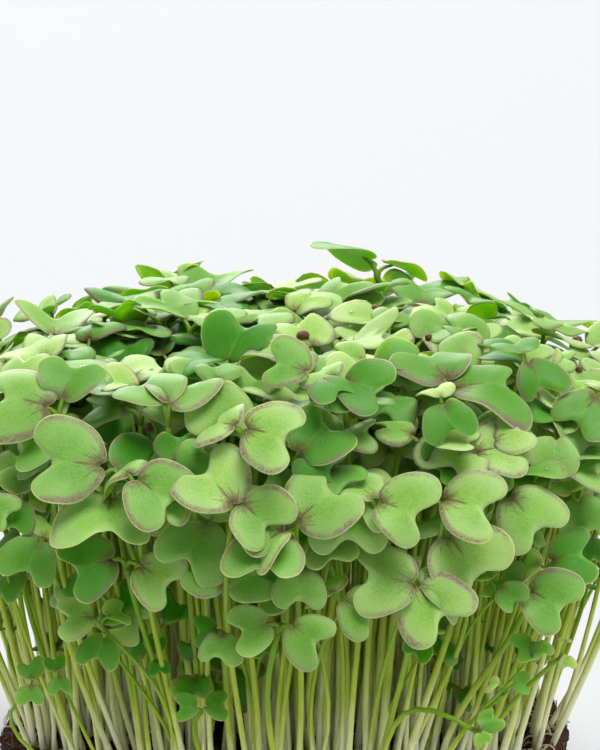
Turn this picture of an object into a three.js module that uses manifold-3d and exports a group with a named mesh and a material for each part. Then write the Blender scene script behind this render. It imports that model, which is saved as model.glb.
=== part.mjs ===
// Radish microgreens standing in a shallow round growing tray.
// Millimetres, +Z up. The origin is the middle of the tray's underside.
//
// The stand is sown on the round face of a coir block. Its seedlings rise almost straight in the
// middle and fan outwards towards the edge, so that the leaf canopy is a flat dome that overhangs
// the block all round. Each seedling is one grown thing: a stem that forks into two short leaf
// stalks, each with a two-lobed seed leaf.

import * as THREE from 'three';
import { mergeVertices } from 'three/addons/utils/BufferGeometryUtils.js';
import Module from 'manifold-3d';

const wasm = await Module();
wasm.setup();

// ---------------------------------------------------------------- driving dimensions

const GAP = 0.3;                  // clearance between pieces that touch
const ROUND_SIDES = 48;           // facets round the tray and the block

const TRAY = {
  height: 15,                     // underside to the top of the rim
  wall: 1.2,
  footRadius: 50.5,               // where the flat underside ends
  heel: 3,                        // height of the rounded turn from floor to wall
  mouthRadius: 55.2,              // outside of the wall at the rim
  lipWidth: 2.0,
  lipDepth: 2.2,
  drainRadius: 2,
  drainSides: 12,
  drains: [                       // rings of drain holes: radius of the ring and number of holes
    { ring: 18, count: 4 },
    { ring: 38, count: 8 },
  ],
};

const BLOCK = {
  radius: 53,                     // the part that stands above the rim
  top: 26.5,                      // height of the sown face
  shoulder: 2.2,                  // rounding of its upper edge
};

const STAND = {
  seedlings: 48,
  sownRadius: 49,
  heart: 1.5,                     // places left free in the middle of the spiral
  goldenAngle: 137.508,           // degrees from one seedling to the next round the spiral
  flare: 0.36,                    // outward growth of the outermost stems, as part of their radius
  tuck: 0.05,                     // how much less the lower levels reach out
  crown: 101,                     // height of the forks in the middle
  sag: 10,                        // how much lower the upper forks are at the edge
  levels: 2.4,                    // levels between the highest and the lowest seedling of a spot
  levelStep: 0.436,                // share of them from one seedling to the next round the spiral
  levelDrop: 10,                   // height that a level gains at the edge
  stagger: 6.6,                   // height of a level in the middle
};

const LEAF = {
  lobe: 0.96,                     // scale of the outline's radii, which are in millimetres
  centre: 4.9,                    // from the stalk's end to the middle of the blade
  thickness: 0.7,
  smaller: 0.86,                  // size of the inner seed leaf against the outer one
  stalk: 3.4,
  stalkWidth: 1.2,
  rise: 10,                       // degrees from the fork's own plane up to the blade
  yawStep: 129,                    // degrees that each pair is turned from the one before
  facing: 4,                     // outward tilt of the pairs in the middle, in degrees
  facingAtEdge: 26,               // tilt gained towards the edge
  facingPerLevel: 12,             // tilt gained by each lower level at the edge
};

const STEM = { radius: 1.0, sides: 5, steps: 4 };

const HULLS = {
  count: 4,
  length: 2.6,
  width: 1.9,
  ring: 50.6,                     // they lie between the outermost stems and the block's edge
  firstAngle: 31,
  sides: 8,
  rings: 5,
};

// ---------------------------------------------------------------- materials

const finish = (color, roughness) => new THREE.MeshStandardMaterial({ color, roughness, metalness: 0 });
const MATERIALS = {
  tray: finish(0x2a2c2b, 0.55),
  coir: finish(0x4a2f22, 0.95),
  leaf: finish(0x86b85a, 0.6),
  hull: finish(0x6e3a28, 0.7),
};

// ---------------------------------------------------------------- helpers

const radians = THREE.MathUtils.degToRad;

/** A closed three.js geometry as a manifold solid. */
function toSolid(geometry) {
  const bare = geometry.clone();
  bare.deleteAttribute('normal');
  bare.deleteAttribute('uv');
  const merged = mergeVertices(bare);
  return new wasm.Manifold(new wasm.Mesh({
    numProp: 3,
    vertProperties: merged.attributes.position.array,
    triVerts: Uint32Array.from(merged.index.array),
  }));
}

/** A manifold solid as a three.js geometry. */
function toGeometry(solid) {
  const mesh = solid.getMesh();
  const geometry = new THREE.BufferGeometry();
  geometry.setAttribute('position', new THREE.BufferAttribute(mesh.vertProperties, 3));
  geometry.setIndex(new THREE.BufferAttribute(mesh.triVerts, 1));
  geometry.computeVertexNormals();
  return geometry;
}

function joined(geometries) {
  return toGeometry(geometries.map(toSolid).reduce((whole, piece) => whole.add(piece)));
}

function named(name, geometry, material) {
  const mesh = new THREE.Mesh(geometry, material);
  mesh.name = name;
  return mesh;
}

/** A profile of [radius, height] pairs turned about Z. */
function turned(profile) {
  const points = profile.map(([radius, height]) => new THREE.Vector2(radius, height));
  return new THREE.LatheGeometry(points, ROUND_SIDES).rotateX(Math.PI / 2);
}

/** A round bar of a few flat sides along a curve. */
function bar(curve, radius, sides, steps) {
  const section = new THREE.Shape(
    Array.from({ length: sides }, (_, k) => {
      const angle = (2 * Math.PI * k) / sides;
      return new THREE.Vector2(radius * Math.cos(angle), radius * Math.sin(angle));
    }),
  );
  return new THREE.ExtrudeGeometry(section, { extrudePath: curve, steps, bevelEnabled: false });
}

const numbered = (stem, index) => `${stem}_${String(index + 1).padStart(2, '0')}`;

// ---------------------------------------------------------------- tray

/** Inside radius of the tray's wall at a height, along the wall's draft. */
function insideRadius(height) {
  const part = (height - TRAY.heel) / (TRAY.height - TRAY.heel);
  return THREE.MathUtils.lerp(TRAY.footRadius + 1.4, TRAY.mouthRadius, part) - TRAY.wall;
}

function tray() {
  const { height, wall, footRadius, heel, mouthRadius, lipWidth, lipDepth } = TRAY;
  const lipRadius = mouthRadius + lipWidth;
  const shell = turned([
    [0, 0],
    [footRadius - 1, 0],
    [footRadius, 0.5],
    [footRadius + 1.4, heel],
    [mouthRadius, height - lipDepth],
    [lipRadius - 0.5, height - lipDepth],
    [lipRadius, height - lipDepth + 0.5],
    [lipRadius, height - 0.7],
    [lipRadius - 0.7, height],
    [mouthRadius - wall + 0.4, height],
    [mouthRadius - wall, height - 0.4],
    [insideRadius(heel), heel],
    [insideRadius(heel) - 1, wall + 0.4],
    [insideRadius(heel) - 2, wall],
    [0, wall],
  ]);
  const holes = TRAY.drains.flatMap(({ ring, count }) =>
    Array.from({ length: count }, (_, k) => {
      const angle = (2 * Math.PI * k) / count;
      return new THREE.CylinderGeometry(TRAY.drainRadius, TRAY.drainRadius, 3 * wall, TRAY.drainSides)
        .rotateX(Math.PI / 2)
        .translate(ring * Math.cos(angle), ring * Math.sin(angle), wall / 2);
    }),
  );
  const drained = holes.map(toSolid).reduce((body, hole) => body.subtract(hole), toSolid(shell));
  return named('tray', toGeometry(drained), MATERIALS.tray);
}

// ---------------------------------------------------------------- growing medium

function growingMedium() {
  const { radius, top, shoulder } = BLOCK;
  const floor = TRAY.wall + GAP;
  const inside = (height) => insideRadius(height) - GAP;
  return named('growing_medium', turned([
    [0, floor],
    [inside(TRAY.heel) - 2.2, floor],
    [inside(TRAY.heel), TRAY.heel + 0.6],
    [inside(TRAY.height - 1), TRAY.height - 1],
    [radius, TRAY.height + 1],
    [radius, top - shoulder],
    [radius - 0.3 * shoulder, top - 0.3 * shoulder],
    [radius - shoulder, top],
    [0, top],
  ]), MATERIALS.coir);
}

// ---------------------------------------------------------------- seedlings

/**
 * Radius of the blade's outline at an angle from its tip, seen from the middle of the blade: an
 * oval, wider than long, with a round notch at the tip and a short point towards the stalk.
 */
function outlineRadius(degrees) {
  const angle = radians(degrees);
  const oval = 5.45 + 0.75 * Math.cos(angle) - 0.75 * Math.cos(2 * angle);
  const notch = 3.4 * Math.exp(-((degrees / 22) ** 2));
  const point = 0.9 * Math.exp(-(((180 - Math.abs(degrees)) / 12) ** 2));
  return LEAF.lobe * (oval - notch + point);
}

/**
 * A flat two-lobed blade on its stalk, in its own frame: the stalk starts at the origin and the
 * tip points towards +Y. The stalk is kept at its own width while the blade grows in size.
 */
function stalkedBlade(size) {
  const half = [24, 44, 72, 102, 138, 166];
  const angles = [0, ...half];
  const rightSide = angles.map((degrees) => {
    const radius = size * outlineRadius(degrees);
    const angle = radians(degrees);
    return new THREE.Vector2(
      radius * Math.sin(angle),
      LEAF.stalk + size * LEAF.centre + radius * Math.cos(angle),
    );
  });
  rightSide.push(new THREE.Vector2(LEAF.stalkWidth / 2, 0));
  const leftSide = rightSide.slice(1).map((point) => new THREE.Vector2(-point.x, point.y));
  const outline = new THREE.Shape([...rightSide, ...leftSide.reverse()].reverse());
  return new THREE.ExtrudeGeometry(outline, { depth: LEAF.thickness, bevelEnabled: false })
    .translate(0, 0, -LEAF.thickness / 2);
}

/**
 * Where a seedling stands, how far and high it grows and which way its pair of leaves faces. The
 * seedlings stand on a sunflower spiral, where edge, the square of the radius, grows evenly.
 */
function habit(index) {
  const edge = (index + STAND.heart) / (STAND.seedlings - 1 + STAND.heart);
  const radius = STAND.sownRadius * Math.sqrt(edge);
  const angle = radians(index * STAND.goldenAngle);
  const outwards = new THREE.Vector3(Math.cos(angle), Math.sin(angle), 0);
  const level = STAND.levels * ((index * STAND.levelStep) % 1);
  const reach = radius * (1 + (STAND.flare - STAND.tuck * level) * edge);
  const height = STAND.crown - STAND.sag * edge ** 1.5
    - level * (STAND.stagger + STAND.levelDrop * edge ** 2);
  const tilt = LEAF.facing + (LEAF.facingAtEdge + LEAF.facingPerLevel * level) * edge;
  return {
    base: outwards.clone().multiplyScalar(radius).setZ(BLOCK.top + GAP),
    fork: outwards.clone().multiplyScalar(reach).setZ(height),
    outwards,
    tilt: radians(tilt),
    yaw: radians(index * LEAF.yawStep),
  };
}

/** The stem's curve: upright out of the block, then leaning towards its fork. */
function stemCurve({ base, fork }) {
  const rise = fork.z - base.z;
  const knee = base.clone().lerp(fork, 0.25).setZ(base.z + 0.55 * rise);
  return new THREE.QuadraticBezierCurve3(base, knee, fork);
}

/** A seed leaf grown from the fork towards a heading in the pair's own plane. */
function seedLeaf({ fork, outwards, tilt }, heading, size) {
  const up = new THREE.Vector3(0, 0, 1);
  const sideways = new THREE.Vector3().crossVectors(up, outwards);
  const facing = up.clone().multiplyScalar(Math.cos(tilt)).addScaledVector(outwards, Math.sin(tilt));
  const forward = new THREE.Vector3().crossVectors(sideways, facing);
  const flat = forward.multiplyScalar(Math.cos(heading)).addScaledVector(sideways, Math.sin(heading));
  const rise = radians(LEAF.rise);
  const along = flat.clone().multiplyScalar(Math.cos(rise)).addScaledVector(facing, Math.sin(rise));
  const normal = facing.clone().multiplyScalar(Math.cos(rise)).addScaledVector(flat, -Math.sin(rise));
  const across = new THREE.Vector3().crossVectors(along, normal);
  const root = fork.clone().addScaledVector(facing, -STEM.radius / 2);
  return stalkedBlade(size)
    .applyMatrix4(new THREE.Matrix4().makeBasis(across, along, normal).setPosition(root));
}

function seedling(index) {
  const grown = habit(index);
  const stem = bar(stemCurve(grown), STEM.radius, STEM.sides, STEM.steps);
  const pair = [
    seedLeaf(grown, grown.yaw, 1),
    seedLeaf(grown, grown.yaw + Math.PI, LEAF.smaller),
  ];
  return named(numbered('seedling', index), joined([stem, ...pair]), MATERIALS.leaf);
}

// ---------------------------------------------------------------- seed hulls

function seedHull(index) {
  const { count, length, width, ring, firstAngle, sides, rings } = HULLS;
  const angle = radians(firstAngle + (360 * index) / count);
  const hull = new THREE.SphereGeometry(width / 2, sides, rings)
    .scale(length / width, 1, 1)
    .rotateZ(angle + index)
    .translate(ring * Math.cos(angle), ring * Math.sin(angle), BLOCK.top + GAP + width / 2);
  return named(numbered('seed_hull', index), hull, MATERIALS.hull);
}

// ---------------------------------------------------------------- assembly

const repeated = (count, make) => Array.from({ length: count }, (_, index) => make(index));

const microgreens = new THREE.Group();
microgreens.add(
  tray(),
  growingMedium(),
  ...repeated(STAND.seedlings, seedling),
  ...repeated(HULLS.count, seedHull),
);

export default microgreens;
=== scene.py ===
"""Radish microgreens in a shallow round tray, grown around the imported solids.

The stand is about six hundred seedlings on a coir block. Forty-eight of them are the solids of
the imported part, and each is replaced by a fine one in the same place. The others fill the stand
between them. Every seedling is a stem, two leaf stalks and two cupped, two-lobed seed leaves, all
worked out as numpy grids. Lengths are in metres, and MM turns millimetres into them.
"""

import logging
import math
from dataclasses import dataclass, field
from enum import Enum, IntEnum
from typing import ClassVar

import bpy
import numpy as np
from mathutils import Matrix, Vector


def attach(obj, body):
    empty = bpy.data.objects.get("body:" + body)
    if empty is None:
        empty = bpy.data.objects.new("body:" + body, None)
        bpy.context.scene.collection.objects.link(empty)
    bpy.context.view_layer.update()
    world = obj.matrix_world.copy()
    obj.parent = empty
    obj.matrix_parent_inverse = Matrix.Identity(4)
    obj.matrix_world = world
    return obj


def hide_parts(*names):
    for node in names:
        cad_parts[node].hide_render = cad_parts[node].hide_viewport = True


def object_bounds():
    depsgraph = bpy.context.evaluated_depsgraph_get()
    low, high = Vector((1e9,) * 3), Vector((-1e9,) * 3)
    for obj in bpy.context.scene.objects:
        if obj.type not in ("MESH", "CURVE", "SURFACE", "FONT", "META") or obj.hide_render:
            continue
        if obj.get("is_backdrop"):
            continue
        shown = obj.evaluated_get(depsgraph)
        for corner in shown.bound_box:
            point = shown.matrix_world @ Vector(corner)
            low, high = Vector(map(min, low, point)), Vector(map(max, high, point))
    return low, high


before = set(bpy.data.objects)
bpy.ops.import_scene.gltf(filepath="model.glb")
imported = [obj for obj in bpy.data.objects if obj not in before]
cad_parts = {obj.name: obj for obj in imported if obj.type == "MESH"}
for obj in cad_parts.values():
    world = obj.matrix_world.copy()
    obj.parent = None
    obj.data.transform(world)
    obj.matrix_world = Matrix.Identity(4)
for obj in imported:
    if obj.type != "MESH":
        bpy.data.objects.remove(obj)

LOG = logging.getLogger("microgreens")
MM = 0.001
UP = np.array([0.0, 0.0, 1.0])
SOIL = 26.8
GOLDEN_ANGLE = 137.508

Array = np.ndarray
Random = np.random.Generator
Piece = bpy.types.Object
Colour = tuple[int, int, int]
Pixel = tuple[float, float]
Socket = bpy.types.NodeSocket
Sockets = bpy.types.bpy_prop_collection


# -------------------- small maths


def unit(vectors: Array) -> Array:
    """Vectors scaled to a length of one, along their last axis."""
    length = np.linalg.norm(vectors, axis=-1, keepdims=True)
    return vectors / np.maximum(length, 1e-12)


def smooth(low: float, high: float, value: Array) -> Array:
    """A smooth step from 0 at low to 1 at high."""
    part = np.clip((value - low) / (high - low), 0.0, 1.0)
    return part * part * (3.0 - 2.0 * part)


def blend(first: Array, second: Array, share: Array) -> Array:
    """A straight mix of two arrays."""
    return first + (second - first) * share


def turned_about(vectors: Array, spin: Array) -> Array:
    """Vectors turned by a small rotation vector, to first order, with their length kept."""
    return unit(vectors + np.cross(spin, vectors))


def level_ray(turn: Array) -> Array:
    """Level directions at angles about the Z axis."""
    return np.stack([np.cos(turn), np.sin(turn), np.zeros_like(turn)], axis=-1)


def each(values: Array) -> Array:
    """One value for each leaf, shaped so that it spreads over the leaf's rings and spokes."""
    return values[:, None, None]


def kept_within(path: Array, radius: float) -> Array:
    """Points drawn level towards the Z axis until they are no farther from it than a radius.

    Args:
        path: the points, along the last axis.
        radius: the farthest that they may be.

    Returns:
        The points in their new places.
    """
    far = np.hypot(path[..., 0], path[..., 1])
    shrink = np.minimum(1.0, radius / np.maximum(far, 1e-6))
    return path * np.stack([shrink, shrink, np.ones_like(shrink)], axis=-1)


# -------------------- mesh making


@dataclass
class Patch:
    """Vertices and faces of one closed shell or of several of them, with values per vertex."""

    points: Array
    quads: Array
    tris: Array
    values: dict[str, Array] = field(default_factory=dict)
    material: int = 0


def ring_quads(rows: int, columns: int) -> Array:
    """Quads between the rows of a grid whose columns close on themselves.

    Args:
        rows: number of rows of vertices.
        columns: number of vertices in each closed row.

    Returns:
        An array of quads, for vertices numbered row by row.
    """
    row = np.arange(rows - 1)[:, None] * columns
    column = np.arange(columns)[None, :]
    after = (column + 1) % columns
    corners = (row + column, row + after, row + columns + after, row + columns + column)
    return np.stack(corners, axis=-1).reshape(-1, 4)


def fan_tris(centre: int, first: int, columns: int, outwards: bool) -> Array:
    """Triangles from a pole to a closed row of vertices.

    Args:
        centre: number of the pole.
        first: number of the row's first vertex.
        columns: how many vertices the row has.
        outwards: True where the row runs anticlockwise as seen from outside.

    Returns:
        An array of triangles.
    """
    column = np.arange(columns)
    here = first + column
    after = first + (column + 1) % columns
    pole = np.full(columns, centre)
    order = (pole, here, after) if outwards else (pole, after, here)
    return np.stack(order, axis=-1)


def repeated(faces: Array, copies: int, step: int) -> Array:
    """The faces of one shell, numbered on for each of several like shells."""
    return (faces[None] + (np.arange(copies) * step)[:, None, None]).reshape(-1, faces.shape[1])


def shell_faces(rows: int, columns: int, copies: int = 1) -> tuple[Array, Array]:
    """Faces of closed shells whose vertices are closed rows and then a pole for either end.

    Args:
        rows: number of rows of vertices.
        columns: number of vertices in each row.
        copies: how many like shells follow one another.

    Returns:
        The quads between the rows, and the triangles from the poles to the end rows.
    """
    body = rows * columns
    first, last = fan_tris(body, 0, columns, False), fan_tris(body + 1, body - columns, columns, True)
    ends = np.concatenate([first, last])
    return repeated(ring_quads(rows, columns), copies, body + 2), repeated(ends, copies, body + 2)


def shell_values(grid: Array) -> Array:
    """Values on the vertices of shells, in the order that shell_faces goes by.

    Args:
        grid: of shape shells by rows by columns, with the poles as its first and last rows.

    Returns:
        One value for each vertex.
    """
    walls = grid[:, 1:-1].reshape(len(grid), -1)
    return np.concatenate([walls, grid[:, [0, -1], 0]], axis=1).ravel()


def turned(profile: Array, spokes: int, start: float = 0.0) -> Array:
    """A profile carried round the Z axis: its radius times the cosine and sine of each angle.

    Args:
        profile: points of radius and height.
        spokes: how many times it stands round the axis.
        start: the first angle, in radians.

    Returns:
        Points, row by row.
    """
    turn = np.linspace(0.0, 2.0 * math.pi, spokes, endpoint=False) + start
    ring = np.stack([np.cos(turn), np.sin(turn)], axis=-1)
    heights = np.broadcast_to(profile[:, None, 1:], (len(profile), spokes, 1))
    return np.concatenate([profile[:, None, :1] * ring[None], heights], axis=-1).reshape(-1, 3)


def make_piece(name: str, patches: list[Patch], materials: list[bpy.types.Material]) -> Piece:
    """Builds one mesh object out of patches and links it to the scene.

    Args:
        name: the object's name.
        patches: shells to put together. Values that a patch lacks are zero on it.
        materials: material slots, in the order of the patches' material numbers.

    Returns:
        The new object, at the origin, smooth shaded.
    """
    offsets = np.cumsum([0] + [len(patch.points) for patch in patches])
    points = np.concatenate([patch.points for patch in patches])
    quads = np.concatenate([patch.quads.reshape(-1, 4) + at for patch, at in zip(patches, offsets)])
    tris = np.concatenate([patch.tris.reshape(-1, 3) + at for patch, at in zip(patches, offsets)])
    indices = [np.full(len(patch.quads), patch.material) for patch in patches]
    indices += [np.full(len(patch.tris), patch.material) for patch in patches]

    mesh = bpy.data.meshes.new(name)
    mesh.vertices.add(len(points))
    mesh.vertices.foreach_set("co", points.astype(np.float32).ravel())
    corners = np.concatenate([quads.ravel(), tris.ravel()])
    sizes = np.concatenate([np.full(len(quads), 4), np.full(len(tris), 3)])
    mesh.loops.add(len(corners))
    mesh.loops.foreach_set("vertex_index", corners.astype(np.int32))
    mesh.polygons.add(len(sizes))
    mesh.polygons.foreach_set("loop_start", np.concatenate([[0], np.cumsum(sizes)[:-1]]).astype(np.int32))
    mesh.polygons.foreach_set("material_index", np.concatenate(indices).astype(np.int32))
    mesh.update(calc_edges=True)
    mesh.polygons.foreach_set("use_smooth", np.ones(len(sizes), dtype=bool))

    for key in sorted({key for patch in patches for key in patch.values}):
        column = np.concatenate(
            [patch.values.get(key, np.zeros(len(patch.points))) for patch in patches]
        )
        layer = mesh.attributes.new(key, "FLOAT", "POINT")
        layer.data.foreach_set("value", column.astype(np.float32))
    for material in materials:
        mesh.materials.append(material)
    mesh.validate()
    piece = bpy.data.objects.new(name, mesh)
    bpy.context.scene.collection.objects.link(piece)
    return piece


def tubes(paths: Array, radii: Array, sides: int, values: dict[str, Array]) -> Patch:
    """Closed round tubes along paths, each with a pole at either end.

    A vertex is the path's point plus the radius times the cosine of its angle along one direction
    across the path and the sine along another.

    Args:
        paths: points, of shape tubes by rows by 3.
        radii: of shape tubes by rows.
        sides: vertices round each tube.
        values: for each name an array of shape tubes by rows.

    Returns:
        One patch with all the tubes.
    """
    count, rows, _ = paths.shape
    forward = unit(np.gradient(paths, axis=1))
    steady = np.broadcast_to(np.array([0.94, 0.34, 0.05]), forward.shape)
    across = unit(steady - (steady * forward).sum(-1, keepdims=True) * forward)
    other = np.cross(forward, across)
    angle = np.linspace(0.0, 2.0 * math.pi, sides, endpoint=False)
    circle = np.cos(angle)[:, None] * across[:, :, None, :] + np.sin(angle)[:, None] * other[:, :, None, :]
    wall = paths[:, :, None, :] + radii[:, :, None, None] * circle
    poles = np.stack(
        [
            paths[:, 0] - forward[:, 0] * radii[:, :1] * 0.5,
            paths[:, -1] + forward[:, -1] * radii[:, -1:] * 0.5,
        ],
        axis=1,
    )
    points = np.concatenate([wall.reshape(count, -1, 3), poles], axis=1)
    spread = {}
    for key, rows_of_values in values.items():
        along = np.repeat(rows_of_values, sides, axis=1)
        spread[key] = np.concatenate([along, rows_of_values[:, [0, -1]]], axis=1).ravel()
    return Patch(points.reshape(-1, 3), *shell_faces(rows, sides, count), spread)


def bezier(points: list[Array], steps: int) -> Array:
    """Cubic curves from their first control points to their last, by Bernstein's polynomials.

    Args:
        points: four arrays of shape curves by 3.
        steps: points along each curve.

    Returns:
        An array of shape curves by steps by 3.
    """
    t = np.linspace(0.0, 1.0, steps)[None, :, None]
    first, second, third, last = (p[:, None, :] for p in points)
    s = 1.0 - t
    return s**3 * first + 3 * s * s * t * second + 3 * s * t * t * third + t**3 * last


# -------------------- seed leaves


class Fineness(Enum):
    """How finely a seed leaf is divided: spokes, then rings of its upper and of its lower face."""

    NEAR = (56, (0.25, 0.5, 0.7, 0.84, 0.92, 0.965, 0.99, 1.0), (0.6, 0.95))
    MIDDLE = (33, (0.45, 0.76, 0.93, 1.0), (0.8,))
    FAR = (22, (0.6, 1.0), (0.7,))


@dataclass(frozen=True)
class LeafOutline:
    """The two-lobed outline, in millimetres at size 1, with the stalk at the origin.

    Half of it is drawn by named turning points, and the other half is its mirror image.
    """

    middle: float = 3.7
    notch: tuple[float, float] = (0.0, 6.15)
    notch_side: tuple[float, float] = (0.95, 6.5)
    lobe_inside: tuple[float, float] = (1.9, 7.4)
    lobe_tip: tuple[float, float] = (3.15, 8.3)
    lobe_shoulder: tuple[float, float] = (4.7, 8.15)
    lobe_outside: tuple[float, float] = (5.95, 6.9)
    widest: tuple[float, float] = (6.15, 4.9)
    flank: tuple[float, float] = (5.45, 2.55)
    haunch: tuple[float, float] = (4.05, 0.6)
    heel: tuple[float, float] = (2.3, -0.55)
    heel_inside: tuple[float, float] = (0.85, -0.65)
    sinus: tuple[float, float] = (0.0, 0.15)

    def drawn(self, spokes: int) -> Array:
        """The outline as a smooth closed curve through its turning points.

        Between two points the curve is a cubic whose slope at each of them is half the step
        between that point's neighbours.

        Args:
            spokes: how many points to give, clockwise from the notch.

        Returns:
            Points across and along from the blade's middle.
        """
        half = np.array([
            self.notch, self.notch_side, self.lobe_inside, self.lobe_tip, self.lobe_shoulder,
            self.lobe_outside, self.widest, self.flank, self.haunch, self.heel, self.heel_inside, self.sinus,
        ])
        knots = np.concatenate([half, half[-2:0:-1] * [-1.0, 1.0]])
        place = np.linspace(0.0, len(knots), spokes, endpoint=False)
        at = place.astype(int)
        t = (place - at)[:, None]
        before, start, end, after = (knots[(at + k) % len(knots)] for k in (-1, 0, 1, 2))
        slope_in, slope_out = (end - before) / 2, (after - start) / 2
        curve = (2 * t**3 - 3 * t**2 + 1) * start + (t**3 - 2 * t**2 + t) * slope_in
        curve = curve + (3 * t**2 - 2 * t**3) * end + (t**3 - t**2) * slope_out
        return curve - [0.0, self.middle]


@dataclass
class LeafHabits:
    """How each seed leaf differs from a flat one. Arrays with one value for each leaf."""

    fold: Array
    cup: Array
    arch: Array
    droop: Array
    twist: Array
    ruffle: Array
    phase: Array
    lopsided: Array
    notch: Array
    broad: Array
    blush: Array
    tint: Array

    @staticmethod
    def drawn(dice: Random, count: int) -> "LeafHabits":
        """Draws the habits of a number of leaves.

        Args:
            dice: the random numbers.
            count: how many leaves.

        Returns:
            Their habits.
        """
        return LeafHabits(
            fold=dice.normal(0.26, 0.18, count),
            cup=dice.normal(-0.010, 0.026, count),
            arch=dice.normal(-0.018, 0.020, count),
            droop=np.abs(dice.normal(0.35, 0.40, count)),
            twist=dice.normal(0.0, 0.032, count),
            ruffle=np.abs(dice.normal(0.26, 0.16, count)),
            phase=dice.uniform(0.0, 2.0 * math.pi, count),
            lopsided=dice.normal(0.0, 0.07, count),
            notch=dice.uniform(0.72, 1.12, count),
            broad=np.clip(dice.normal(1.07, 0.09, count), 0.88, 1.3),
            blush=dice.beta(1.3, 1.7, count),
            tint=dice.uniform(0.0, 1.0, count),
        )

    @staticmethod
    def joined(habits: list["LeafHabits"]) -> "LeafHabits":
        """The habits of several lots of leaves as one."""
        names = LeafHabits.__dataclass_fields__
        return LeafHabits(*(np.concatenate([getattr(lot, name) for lot in habits]) for name in names))

    def only(self, chosen: Array) -> "LeafHabits":
        """The habits of some of the leaves."""
        return LeafHabits(*(getattr(self, name)[chosen] for name in self.__dataclass_fields__))


@dataclass
class Blades:
    """Makes the blades of many seed leaves at once."""

    outline: LeafOutline = field(default_factory=LeafOutline)
    thickness: float = 0.42

    def surface(
        self, habits: LeafHabits, size: Array, rho: Array, outline: Array
    ) -> Array:
        """The blade's middle surface in its own frame, in millimetres.

        Across and along are the share rho of the way from the blade's middle to the outline.
        Height is a soft V along the midrib that fades towards the notch, plus a cup across, an
        arch along, a droop of the margin, a twist and a ruffle that runs round the margin.

        Args:
            habits: the leaves' habits.
            size: size of each leaf.
            rho: share of the radius for each ring.
            outline: the outline's points from the blade's middle.

        Returns:
            Points of shape leaves by rings by spokes by 3: across, along and height.
        """
        ring = rho[None, :, None]
        spoke = np.arctan2(outline[:, 0], outline[:, 1])[None, None, :]
        deeper = 2.6 * (each(habits.notch) - 0.95) * np.exp(-((spoke / 0.42) ** 2))
        bumps = 0.018 * np.sin(5.0 * spoke + each(habits.phase))
        uneven = 1.0 + each(habits.lopsided) * np.sin(spoke) + bumps
        across = ring * outline[:, 0] * uneven * each(habits.broad)
        along = self.outline.middle + ring * (outline[:, 1] * uneven - deeper)
        crease = np.sqrt(across**2 + 0.6**2) - 0.6
        height = each(habits.fold) * crease * (0.25 + 0.75 * smooth(9.0, 1.0, along))
        height = height + each(habits.cup) * across**2 + each(habits.arch) * along**2
        height = height - each(habits.droop) * ring**5
        height = height + each(habits.twist) * across * (along - 3.0)
        wave = np.sin(3.0 * spoke + each(habits.phase)) + 0.5 * np.sin(5.0 * spoke - each(habits.phase))
        height = height + each(habits.ruffle) * wave * ring**3
        points = np.stack([across, along, height], axis=-1)
        return points * each(size)[..., None]

    def make(
        self,
        habits: LeafHabits,
        size: Array,
        place: Array,
        axes: Array,
        fineness: Fineness,
    ) -> Patch:
        """Closed blades in the world.

        Two copies of the middle surface lie half the thickness above and below it. The thickness
        falls to nothing at the margin, as the root of 1 minus the eighth power of rho.

        Args:
            habits: the leaves' habits.
            size: size of each leaf.
            place: where each leaf's stalk ends, in metres.
            axes: across, along and normal of each leaf, of shape leaves by 3 by 3.
            fineness: how finely to divide them.

        Returns:
            One patch with all the blades, whose values say where on the blade a vertex is.
        """
        spokes, upper, lower = fineness.value
        outline = self.outline.drawn(spokes)
        angle = np.arctan2(outline[:, 0], outline[:, 1])
        rho = np.array([0.0, *upper, *reversed(lower), 0.0])
        side = np.array([1.0] * (len(upper) + 1) + [-1.0] * (len(lower) + 1))
        middle = self.surface(habits, size, rho, outline)
        bulge = np.sqrt(np.clip(1.0 - rho**8, 0.0, 1.0)) * side * self.thickness / 2
        middle[..., 2] += bulge[None, :, None] * np.sqrt(size)[:, None, None]

        count = len(size)
        world = place[:, None, None, :] + MM * np.einsum("lrsk,lkd->lrsd", middle, axes)
        walls = world[:, 1:-1].reshape(count, -1, 3)
        points = np.concatenate([walls, world[:, [0, -1], 0]], axis=1)

        flush = each(habits.blush) * blend(0.25, 1.0, smooth(0.5, 1.9, np.abs(angle)))[None, None]
        grids = {
            "rho": rho[None, :, None],
            "under": (side < 0).astype(float)[None, :, None],
            "blush": flush,
            "tint": each(habits.tint),
            "across": middle[..., 0] / each(size),
            "along": middle[..., 1] / each(size),
        }
        values = {key: shell_values(np.broadcast_to(grid, middle.shape[:3])) for key, grid in grids.items()}
        return Patch(points.reshape(-1, 3), *shell_faces(len(rho) - 2, spokes, count), values)


# -------------------- viewpoint


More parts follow.
